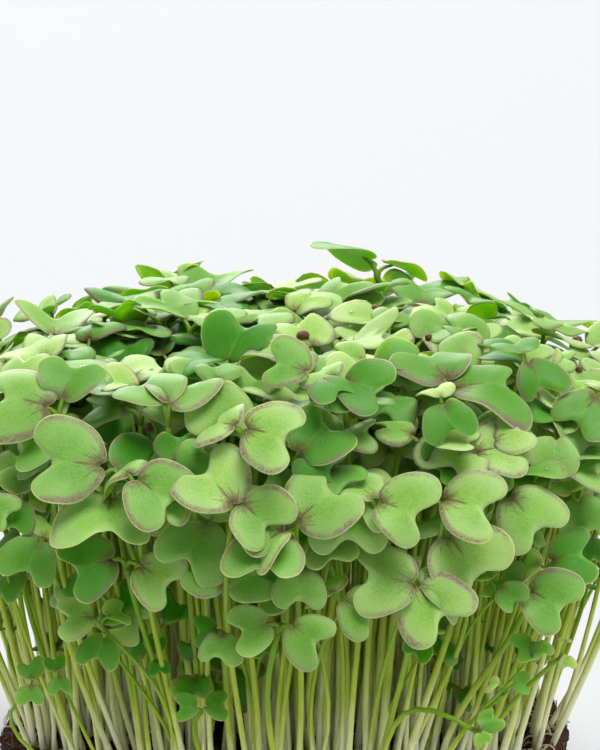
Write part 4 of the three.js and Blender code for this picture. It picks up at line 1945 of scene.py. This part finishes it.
@dataclass
class CoirBlock:
    """The growing medium: a rough turned block with loose fibres and crumbs. Millimetres."""

    radius: float = 53.0
    top: float = 26.5
    shoulder: float = 2.4
    spokes: int = 320
    fibres: int = 900
    crumbs: int = 500
    root_hairs: int = 420
    path_rows: int = 7

    def profile(self, tray: Tray) -> Array:
        """The block's section, closely divided where it shows.

        Args:
            tray: the tray that the block fills.

        Returns:
            Points of radius and height.
        """
        corners = np.array([
            [0.8, tray.wall + 0.3],
            [tray.inside(tray.heel) - 2.5, tray.wall + 0.3],
            [tray.inside(tray.heel) - 0.3, tray.heel + 0.6],
            [tray.inside(tray.height - 1.0) - 0.3, tray.height - 1.0],
            [self.radius, tray.height + 1.0],
            [self.radius, self.top - self.shoulder],
            [self.radius - 0.3 * self.shoulder, self.top - 0.3 * self.shoulder],
            [self.radius - self.shoulder, self.top],
            [0.8, self.top],
        ])
        steps = np.linalg.norm(np.diff(corners, axis=0), axis=1)
        pace = np.array([6.0, 1.5, 2.0, 0.9, 0.55, 0.5, 0.5, 0.85])
        shares = [np.linspace(0.0, 1.0, max(2, int(count) + 1))[:-1, None] for count in steps / pace]
        pieces = [blend(corners[k], corners[k + 1], share) for k, share in enumerate(shares)]
        return np.concatenate(pieces + [corners[-1:]])

    def rough(self, points: Array, dice: Random) -> Array:
        """Lumpiness: sums of sine waves in random directions, from 9 mm down to 1 mm long.

        Args:
            points: where to work it out.
            dice: the random numbers.

        Returns:
            A height for each point.
        """
        total = np.zeros(len(points))
        for wavelength, size in ((9.0, 0.55), (5.0, 0.45), (2.8, 0.36), (1.7, 0.28), (1.05, 0.20)):
            for _ in range(6):
                direction = unit(dice.normal(size=3)) * 2.0 * math.pi / (wavelength * dice.uniform(0.8, 1.25))
                total += size * np.sin(points @ direction + dice.uniform(0.0, 6.3)) / math.sqrt(6.0)
        return total

    def make(self, tray: Tray, dice: Random, finishes: Finishes) -> list[Piece]:
        """The block with its fibres and crumbs, and the root hairs on it.

        Each point of the turned block moves along its normal by the lumpiness there, except
        where the tray holds it and at the poles.

        Args:
            tray: the tray that the block fills.
            dice: the random numbers.
            finishes: where its materials come from.

        Returns:
            The block's piece and the root hairs' piece.
        """
        profile = self.profile(tray)
        walls = turned(profile, self.spokes)
        slope = np.gradient(profile, axis=0)
        normal = turned(unit(np.stack([slope[:, 1], -slope[:, 0]], axis=-1)), self.spokes)
        lump = self.rough(walls, dice)
        above = smooth(tray.height - 1.5, tray.height + 2.0, walls[:, 2])
        inner = smooth(0.0, 4.0, np.hypot(walls[:, 0], walls[:, 1]))
        walls = walls + normal * ((lump - 0.35) * above * inner)[:, None]
        points = np.concatenate([walls, [[0.0, 0.0, profile[0, 1]], [0.0, 0.0, self.top - 0.3]]]) * MM
        block = Patch(points, *shell_faces(len(profile), self.spokes))
        piece = make_piece("coir_block", [block, self.strands(dice), self.lumps(dice)], [finishes.of(COIR)])
        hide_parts("growing_medium")
        down = make_piece("root_hairs", [self.hairs(dice)], [finishes.of(ROOT_HAIR)])
        return [piece, down]

    def scatter(self, dice: Random, count: int) -> tuple[Array, Array]:
        """Random places on the visible part of the block.

        Args:
            dice: the random numbers.
            count: how many.

        Returns:
            The places, and the outward directions there.
        """
        on_top = dice.uniform(0.0, 1.0, count) < 0.6
        turn = dice.uniform(0.0, 2.0 * math.pi, count)
        radius = np.where(on_top, self.radius * np.sqrt(dice.uniform(0.0, 0.97, count)), self.radius - 0.3)
        height = np.where(on_top, self.top - 0.3, dice.uniform(16.5, self.top - 1.0, count))
        level = level_ray(turn)
        return level * radius[:, None] + UP * height[:, None], np.where(on_top[:, None], UP, level)

    def strands(self, dice: Random) -> Patch:
        """Coir fibres: curves that lie on the block and curl a little off it.

        Args:
            dice: the random numbers.

        Returns:
            One patch with all of them.
        """
        place, out = self.scatter(dice, self.fibres)
        along = unit(np.cross(out, dice.normal(size=(self.fibres, 3))))
        bend = unit(np.cross(out, along))
        length = dice.uniform(2.5, 9.0, self.fibres)[:, None]
        lift = dice.uniform(0.1, 1.3, self.fibres)[:, None]
        curl = dice.normal(0.0, 0.22, self.fibres)[:, None]
        path = bezier([
            place - out * 0.6,
            place + along * length * 0.3 + out * lift,
            place + along * length * 0.7 + bend * curl * length + out * lift * 0.6,
            place + along * length + bend * curl * length * 1.6 - out * 0.5,
        ], self.path_rows)
        thick = dice.uniform(0.06, 0.16, self.fibres)[:, None]
        radii = np.broadcast_to(thick, (self.fibres, self.path_rows)) * MM
        tint = np.broadcast_to(dice.uniform(0.0, 1.0, self.fibres)[:, None], radii.shape)
        path = kept_within(path, self.radius + 0.9)
        return tubes(path * MM, radii, 4, {"fibre": np.ones_like(radii), "tint": tint})

    def lumps(self, dice: Random) -> Patch:
        """Crumbs: short fat tubes with tapered ends.

        Args:
            dice: the random numbers.

        Returns:
            One patch with all of them.
        """
        place, out = self.scatter(dice, self.crumbs)
        size = dice.uniform(0.35, 1.1, self.crumbs)[:, None]
        along = unit(dice.normal(size=(self.crumbs, 3)))
        reach = size[:, None] * np.linspace(-1.0, 1.0, 5)[None, :, None]
        path = (place + out * 0.1)[:, None] + along[:, None] * reach
        radii = size * np.array([0.35, 0.75, 0.85, 0.7, 0.3])[None] * MM
        tint = np.broadcast_to(dice.uniform(0.0, 0.4, self.crumbs)[:, None], radii.shape)
        fibre = np.broadcast_to((dice.uniform(0.0, 1.0, self.crumbs) * 0.5)[:, None], radii.shape)
        return tubes(path * MM, radii, 6, {"fibre": fibre, "tint": tint})

    def hairs(self, dice: Random) -> Patch:
        """White root hairs near the sown face's edge: curves that rise, lean out and sink again.

        Args:
            dice: the random numbers.

        Returns:
            One patch with all of them.
        """
        count = self.root_hairs
        turn = dice.uniform(0.0, 2.0 * math.pi, count)
        radius = dice.uniform(43.0, 52.0, count)
        level = level_ray(turn)
        place = level * radius[:, None] + UP * (self.top - 0.4)
        outwards = level * dice.uniform(0.1, 1.0, (count, 1))
        along = unit(outwards + 0.8 * unit(dice.normal(size=(count, 3)) * [1, 1, 0.2]))
        length = dice.uniform(1.5, 4.8, count)[:, None]
        sag = np.where(radius[:, None] + length > self.radius, 1.8, 0.7)
        path = bezier([
            place,
            place + along * length * 0.35 + UP * dice.uniform(0.6, 1.6, (count, 1)),
            place + along * length * 0.75 + UP * dice.uniform(0.2, 1.2, (count, 1)),
            place + along * length - UP * sag,
        ], self.path_rows)
        path = kept_within(path, self.radius + 0.4)
        thick = np.broadcast_to(dice.uniform(0.10, 0.24, count)[:, None], (count, self.path_rows))
        radii = thick * np.linspace(1.0, 0.5, self.path_rows)[None] * MM
        return tubes(path * MM, radii, 5, {})


@dataclass
class SeedCoats:
    """Empty seed coats: open half-shells, puckered like the real thing. Millimetres."""

    ring: float = 50.6
    first_angle: float = 31.0
    length: float = 2.6
    width: float = 1.9
    inside: float = 0.82
    columns: int = 18
    rows: tuple[int, int] = (8, 6)
    loose: int = 70

    def cup(self) -> Array:
        """The points of one coat: an outer and an inner dome joined at their rim.

        Each is an ellipsoid by its polar angle and the angle round it, dented three times
        round, and the inner one is smaller.

        Returns:
            The points row by row, and then the two poles.
        """
        outer, inner = self.rows
        down, back = np.linspace(0.0, 0.60, outer + 1)[1:], np.linspace(0.60, 0.0, inner + 1)[:-1]
        polar = (np.concatenate([down, back]) * math.pi)[:, None]
        scale = np.concatenate([np.ones(outer), np.full(inner, self.inside)])
        angle = -np.linspace(0.0, 2.0 * math.pi, self.columns, endpoint=False)
        dent = 1.0 + 0.07 * np.sin(3.0 * angle)[None] * np.sin(polar)
        x = self.length / 2 * np.cos(angle)[None] * np.sin(polar) * dent
        y = self.width / 2 * np.sin(angle)[None] * np.sin(polar) * dent
        z = self.width / 2 * np.cos(polar) * np.ones(self.columns)
        shell = np.stack([x, y, z], axis=-1) * scale[:, None, None]
        poles = np.array([[0.0, 0.0, self.width / 2], [0.0, 0.0, self.width / 2 * self.inside]])
        return np.concatenate([shell.reshape(-1, 3), poles])

    def shells(self, place: Array, turn: Array, size: Array) -> Patch:
        """Coats in their places, each tipped about X and then turned about Z.

        Args:
            place: middle of each.
            turn: angles of each, about Z and about X.
            size: size of each.

        Returns:
            One patch with all of them.
        """
        x, y, z = self.cup().T
        about, tip = turn.T[..., None]
        level, height = y * np.cos(tip) - z * np.sin(tip), y * np.sin(tip) + z * np.cos(tip)
        spun = [x * np.cos(about) - level * np.sin(about), x * np.sin(about) + level * np.cos(about), height]
        points = np.stack(spun, axis=-1) * size[:, None, None] + place[:, None]
        return Patch((points * MM).reshape(-1, 3), *shell_faces(sum(self.rows), self.columns, len(place)))

    def make(self, soil: float, dice: Random, finishes: Finishes) -> list[Piece]:
        """The four coats of the part, each in its place, and loose ones between the stems.

        Args:
            soil: height of the sown face.
            dice: the random numbers.
            finishes: where the material comes from.

        Returns:
            The four pieces and the piece with the loose ones.
        """
        material = finishes.of(SEED_COAT)
        pieces = []
        for number in range(4):
            angle = math.radians(self.first_angle + 90.0 * number)
            place = np.array([[self.ring * math.cos(angle), self.ring * math.sin(angle), soil + 0.95]])
            patch = self.shells(place, np.array([[angle + 0.6, 0.25]]), np.array([1.0]))
            piece = make_piece(f"seed_coat_{number + 1:02d}", [patch], [material])
            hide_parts(f"seed_hull_{number + 1:02d}")
            pieces.append(piece)
        turn = dice.uniform(0.0, 2.0 * math.pi, self.loose)
        radius = 51.0 * np.sqrt(dice.uniform(0.1, 1.0, self.loose))
        place = level_ray(turn) * radius[:, None] + UP * (soil + 0.5)
        angles = dice.uniform(-1.0, 1.0, (self.loose, 2)) * [math.pi, 2.4]
        patch = self.shells(place, angles, dice.uniform(0.75, 1.05, self.loose))
        loose = make_piece("loose_seed_coats", [patch], [material])
        return pieces + [loose]


@dataclass
class Litter:
    """Seed coats caught on the leaves and a few droplets, laid where a straight line first meets a leaf.

    Places are pixels of the 600 by 750 frame, and the strewn ones fall straight down. Millimetres.
    """

    coats: tuple[Pixel, ...] = ((152, 428), (302, 337))
    drops: tuple[Pixel, ...] = ((322, 442), (400, 456), (546, 470))
    strewn_coats: int = 5
    strewn_drops: int = 14
    strewn_radius: float = 60.0
    strewn_from: float = 150.0
    drop_radius: float = 0.62

    def landed(self, start: Array, heading: Array) -> tuple[Array, Array] | None:
        """Where a line first meets a leaf or a stem.

        Args:
            start: where the line starts.
            heading: its direction.

        Returns:
            The place and the surface's normal there, or None where the line meets something else.
        """
        graph = bpy.context.evaluated_depsgraph_get()
        cast = bpy.context.scene.ray_cast(graph, Vector(start * MM), Vector(heading))
        met, place, normal, _, target, _ = cast
        if not met or not target.name.startswith(("fine_", "front_", "low_", "filling_")):
            return None
        return np.array(place) / MM, np.array(normal)

    def found(
        self, viewpoint: Viewpoint, pixels: tuple[Pixel, ...], strewn: int, dice: Random
    ) -> tuple[Array, Array]:
        """Places and normals for the named pixels and for some random spots from above.

        Args:
            viewpoint: where the frame is seen from.
            pixels: the named places.
            strewn: how many to let fall.
            dice: the random numbers.

        Returns:
            Places and normals, each N by 3.
        """
        lines = [(viewpoint.eye(), viewpoint.ray(pixel)) for pixel in pixels]
        radius = self.strewn_radius * np.sqrt(dice.uniform(0.0, 1.0, strewn))
        turn = dice.uniform(0.0, 2.0 * math.pi, strewn)
        lines += [(top, -UP) for top in level_ray(turn) * radius[:, None] + UP * self.strewn_from]
        landings = [landing for line in lines if (landing := self.landed(*line)) is not None]
        return np.array([place for place, _ in landings]), np.array([normal for _, normal in landings])

    def make(
        self, viewpoint: Viewpoint, coats: SeedCoats, finishes: Finishes, dice: Random
    ) -> list[Piece]:
        """The caught coats and the droplets, which are balls pressed flat on the leaf.

        A droplet is a short tube whose radius follows a circle.

        Args:
            viewpoint: where the frame is seen from.
            coats: what a seed coat looks like.
            finishes: where the materials come from.
            dice: the random numbers.

        Returns:
            One piece with the coats and one with the droplets.
        """
        bpy.context.view_layer.update()
        place, normal = self.found(viewpoint, self.coats, self.strewn_coats, dice)
        turns = dice.uniform(-1.0, 1.0, (len(place), 2)) * [math.pi, 1.2]
        patch = coats.shells(place + normal * 0.35, turns, dice.uniform(0.7, 0.95, len(place)))
        caught = make_piece("caught_seed_coats", [patch], [finishes.of(SEED_COAT)])
        place, normal = self.found(viewpoint, self.drops, self.strewn_drops, dice)
        part = np.sin(np.linspace(-0.48, 0.48, 11) * math.pi)
        size = self.drop_radius * dice.uniform(0.5, 1.1, len(place))[:, None]
        path = (place[:, None] + normal[:, None] * (size * (0.45 * part[None] + 0.12))[..., None]) * MM
        balls = tubes(path, size * np.sqrt(1.0 - part**2)[None] * MM, 20, {})
        return [caught, make_piece("droplets", [balls], [finishes.of(WATER)])]


# -------------------- the whole


class Kind(IntEnum):
    """What a seedling of the stand is."""

    OWN = 0
    FRONT = 1
    LOW = 2
    FILLING = 3
    TAKEN_AWAY = 4


class Dice(Enum):
    """Where each sub-assembly's random numbers start."""

    BLOCK = 11
    COATS = 12
    SEEDLINGS = 7
    LITTER = 13

    def rolled(self) -> Random:
        """Its random numbers, from the start."""
        return np.random.default_rng(self.value)


@dataclass
class Crop:
    """The planned stand with what its stems need. Arrays with one value for each seedling."""

    stand: Stand
    habits: LeafHabits
    kind: Array
    wobble: Array
    girth: Array


@dataclass
class Microgreens:
    """Plans the whole stand and makes its pieces. Millimetres."""

    viewpoint: Viewpoint
    finishes: Finishes
    crown: Crown = field(default_factory=Crown)
    maker: SeedlingMaker = field(default_factory=SeedlingMaker)
    soil: float = SOIL
    front_freedom: float = 0.5
    bent_base: tuple[float, float] = (15.0, -49.5)
    farthest_back: float = 30.0
    most_moved: float = 14.0
    shade_from: float = 58.0
    light_from: float = 92.0
    crowded: float = 0.82
    outside: float = 0.86
    stem_wander: float = 4.2
    uneven_girth: float = 0.14
    own_girth: float = 1.18
    small_girth: float = 0.76
    sectors: int = 20

    def plan(self, dice: Random) -> tuple[Stand, LeafHabits, Array]:
        """Draws and settles all seedlings.

        The filling gives way along the view where it would hide the front. Its leaves are
        painted darker the lower they grow, partly as painted shade and partly as younger leaves. Those of the
        outside that stay tangled are taken away.

        Args:
            dice: the random numbers.

        Returns:
            The seedlings, their leaves' habits, and the kind of each.
        """
        own = node_stand(NodePlan(), self.soil)
        planner = FrontPlanner(self.viewpoint, self.crown, self.soil)
        front, front_habits = planner.pairs(Front, dice, self.front_freedom)
        low, low_habits = planner.pairs(Low, dice, self.front_freedom)
        low.base[list(Low).index(Low.BENT_STEM)] = (*self.bent_base, self.soil)
        taken = np.concatenate([own.base, front.base, low.base])
        fill = Filling().stand(dice, taken, self.soil)
        back = planner.make_way(front, np.array([len(member.value) > 1 for member in Front]), fill)
        LOG.info("filling seedlings moved back: %d of %d", int((back > 0).sum()), len(back))
        fill = fill.only(back < self.farthest_back)
        back = back[back < self.farthest_back]
        fill.fork = fill.fork + np.clip(back, 0.0, self.most_moved)[:, None] * self.viewpoint.axes()[2]

        own_habits = LeafHabits.drawn(dice, 2 * len(own.base))
        own_habits.fold[:] = np.clip(own_habits.fold, 0.0, 0.25)
        fill_habits = LeafHabits.drawn(dice, 2 * len(fill.base))
        habits = LeafHabits.joined([own_habits, front_habits, low_habits, fill_habits])
        whole = Stand.joined([own, front, low, fill])
        kinds = [Kind.OWN, Kind.FRONT, Kind.LOW, Kind.FILLING]
        kind = np.repeat(kinds, [len(own.base), len(front.base), len(low.base), len(fill.base)])
        # painted shade: the filling's tint falls the lower its fork stands, darkening its leaves and making
        # its stems less pale; partly also younger leaves
        lit = (whole.fork[:, 2] - self.shade_from) / (self.light_from - self.shade_from)
        lit = np.clip(lit, 0.1, 1.0)
        habits.tint *= np.repeat(np.where(kind == Kind.FILLING, lit, 1.0), 2)

        settling = Settling()
        settling.run(whole, self.crown)
        outside = self.crown.depth(whole.centres()).max(axis=1) > self.crowded
        tangled = settling.tangled(whole, (kind == Kind.FILLING) & outside)
        LOG.info("tangled seedlings taken away: %d", int(tangled.sum()))
        kind[tangled] = Kind.TAKEN_AWAY
        return whole, habits, kind

    def crop(self, dice: Random) -> Crop:
        """The planned stand with bent stems of uneven thickness.

        A stem's middle control points move at random and outwards. The part's own stems stay
        straight and are thicker, those of small seedlings are thinner, and one is bent.

        Args:
            dice: the random numbers.

        Returns:
            All that the pieces are made from.
        """
        whole, habits, kind = self.plan(dice)
        count = len(whole.base)
        wobble = dice.normal(0.0, self.stem_wander, (count, 2, 3)) * [1.0, 1.0, 0.3]
        slant = (whole.fork - whole.base)[:, None] * [1.0, 1.0, 0.0]
        slant = slant * dice.uniform(-0.05, 0.38, (count, 1, 1))
        wobble = wobble + slant * np.array([0.7, 1.0])[None, :, None]
        wobble[kind == Kind.OWN] *= 0.0
        bent = int(np.flatnonzero(kind == Kind.LOW)[list(Low).index(Low.BENT_STEM)])
        wobble[bent] = [[0.0, 0.0, 9.5], [-6.0, -2.0, 14.0]]
        girth = np.clip(dice.normal(1.0, self.uneven_girth, count), 0.75, 1.35)
        girth = girth * np.where(kind == Kind.OWN, self.own_girth, 1.0)
        girth = girth * np.where(whole.size.mean(axis=1) < 0.75, self.small_girth, 1.0)
        return Crop(whole, habits, kind, wobble, girth)

    def piece(self, name: str, crop: Crop, chosen: Array, fineness: Fineness) -> Piece:
        """Makes one piece out of some of the seedlings.

        Args:
            name: the piece's name.
            crop: the whole stand.
            chosen: True for the seedlings of the piece.
            fineness: how finely their blades are divided.

        Returns:
            The new piece.
        """
        habits = crop.habits.only(np.repeat(chosen, 2))
        wobble, girth = crop.wobble[chosen], crop.girth[chosen]
        patches = self.maker.patches(crop.stand.only(chosen), habits, wobble, girth, fineness)
        made = make_piece(name, patches, [self.finishes.of(SEED_LEAF), self.finishes.of(STEM)])
        return made

    def make(self, dice: Random) -> list[Piece]:
        """Makes every seedling's piece.

        The part's own seedlings and those of the front get a piece each. The filling's are put
        together by sectors, with the hidden ones apart.

        Args:
            dice: the random numbers.

        Returns:
            The pieces.
        """
        crop = self.crop(dice)
        alone = np.eye(len(crop.kind), dtype=bool)
        pieces = []
        for number in np.flatnonzero(crop.kind == Kind.OWN):
            node = f"seedling_{number + 1:02d}"
            made = self.piece(f"fine_{node}", crop, alone[number], Fineness.NEAR)
            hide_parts(node)
            pieces.append(made)
        for kind, members, first in ((Kind.FRONT, Front, "front"), (Kind.LOW, Low, "low")):
            for number, member in zip(np.flatnonzero(crop.kind == kind), members):
                name = f"{first}_{member.name.lower()}"
                pieces.append(self.piece(name, crop, alone[number], Fineness.NEAR))

        base, filling = crop.stand.base, crop.kind == Kind.FILLING
        angle = np.arctan2(base[:, 1], base[:, 0])
        sector = ((angle + math.pi) / (2.0 * math.pi) * self.sectors).astype(int) % self.sectors
        outer = self.crown.depth(crop.stand.centres()).max(axis=1) > self.outside
        LOG.info("outer seedlings of the filling: %d", int((outer & filling).sum()))
        for number in range(self.sectors):
            chosen = filling & (sector == number)
            if (chosen & outer).any() and (chosen & ~outer).any():
                name = f"filling_{number + 1:02d}"
                pieces.append(self.piece(name, crop, chosen & outer, Fineness.MIDDLE))
                pieces.append(self.piece(f"{name}_inside", crop, chosen & ~outer, Fineness.FAR))
        return pieces


@dataclass(frozen=True)
class Softbox:
    """A broad far light, whose rays run from its place towards the stand. Metres and degrees."""

    name: str
    place: tuple[float, float, float]
    spread: float
    power: float
    colour: tuple[float, float, float]
    aim: tuple[float, float, float] = (0.0, 0.0, 0.07)

    def make(self) -> bpy.types.Object:
        """Makes the light and puts it on the stage.

        Returns:
            The light.
        """
        data = bpy.data.lights.new(self.name, "SUN")
        data.angle = math.radians(self.spread)
        data.energy, data.color = self.power, self.colour
        light = bpy.data.objects.new(self.name, data)
        light.location = self.place
        light.rotation_euler = (Vector(self.aim) - Vector(self.place)).to_track_quat("-Z", "Y").to_euler()
        bpy.context.scene.collection.objects.link(light)
        light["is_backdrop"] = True
        return light


@dataclass(frozen=True)
class Stage:
    """What stands round the object: pale ground, two softboxes and a sky that is brightest low down."""

    half: float = 40.0
    above: Softbox = Softbox("softbox_above", (0.20, -0.28, 1.1), 40.0, 3.45, (1.0, 0.995, 0.98))
    behind: Softbox = Softbox("softbox_behind", (-0.20, 0.95, 0.62), 36.0, 2.0, (1.0, 1.0, 0.98))
    sky_colour: tuple[float, float, float, float] = (0.96, 0.98, 1.0, 1.0)
    sky_low: float = 0.90
    sky_high: float = 0.13

    def make(self, finishes: Finishes) -> None:
        """Makes the ground as one square, the lights and the sky.

        The sky's strength is a smooth step of how steeply one looks up.

        Args:
            finishes: where the ground's material comes from.
        """
        corners = np.array([[-1, -1, 0], [1, -1, 0], [1, 1, 0], [-1, 1, 0]]) * self.half
        square = Patch(corners, np.array([[0, 1, 2, 3]]), np.zeros((0, 3), int))
        ground = make_piece("ground", [square], [finishes.of(PAPER)])
        ground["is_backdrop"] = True
        self.above.make()
        self.behind.make()

        world = bpy.data.worlds.new("soft_sky")
        world.use_nodes = True
        wiring = Wiring(world.node_tree)
        direction = wiring.node("TexCoord", {}, {}).outputs["Generated"]
        upwards = wiring.node("SeparateXYZ", {}, {0: direction}).outputs[2]
        shader = world.node_tree.nodes["Background"]
        shader.inputs["Color"].default_value = self.sky_colour
        wiring.feed(shader.inputs["Strength"], wiring.step(upwards, 0.12, 0.42, self.sky_low, self.sky_high))
        bpy.context.scene.world = world
        bpy.context.scene.view_settings.view_transform = "Standard"


def main() -> None:
    """Builds each sub-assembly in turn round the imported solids, and reports each piece."""
    logging.basicConfig(level=logging.INFO, format="%(name)s: %(message)s")
    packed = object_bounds()
    finishes, viewpoint = Finishes(), Viewpoint()
    tray, coats = Tray(), SeedCoats()
    pieces = [tray.make(finishes)]
    pieces += CoirBlock().make(tray, Dice.BLOCK.rolled(), finishes)
    pieces += coats.make(SOIL, Dice.COATS.rolled(), finishes)
    pieces += Microgreens(viewpoint, finishes).make(Dice.SEEDLINGS.rolled())
    pieces += Litter().make(viewpoint, coats, finishes, Dice.LITTER.rolled())
    total = 0
    for piece in pieces:
        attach(piece, "root")
        triangles = sum(len(polygon.vertices) - 2 for polygon in piece.data.polygons)
        LOG.info("%s: %d triangles", piece.name, triangles)
        total += triangles
    LOG.info("%d pieces, %d triangles", len(pieces), total)
    Stage().make(finishes)
    viewpoint.make_camera()
    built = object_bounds()
    sizes = {"packed": [list(corner) for corner in packed], "built": [list(corner) for corner in built]}
    for key, pair in sizes.items():
        LOG.info("%s in mm: %s", key, [[round(value / MM, 1) for value in corner] for corner in pair])


if __name__ == "__main__":
    main()
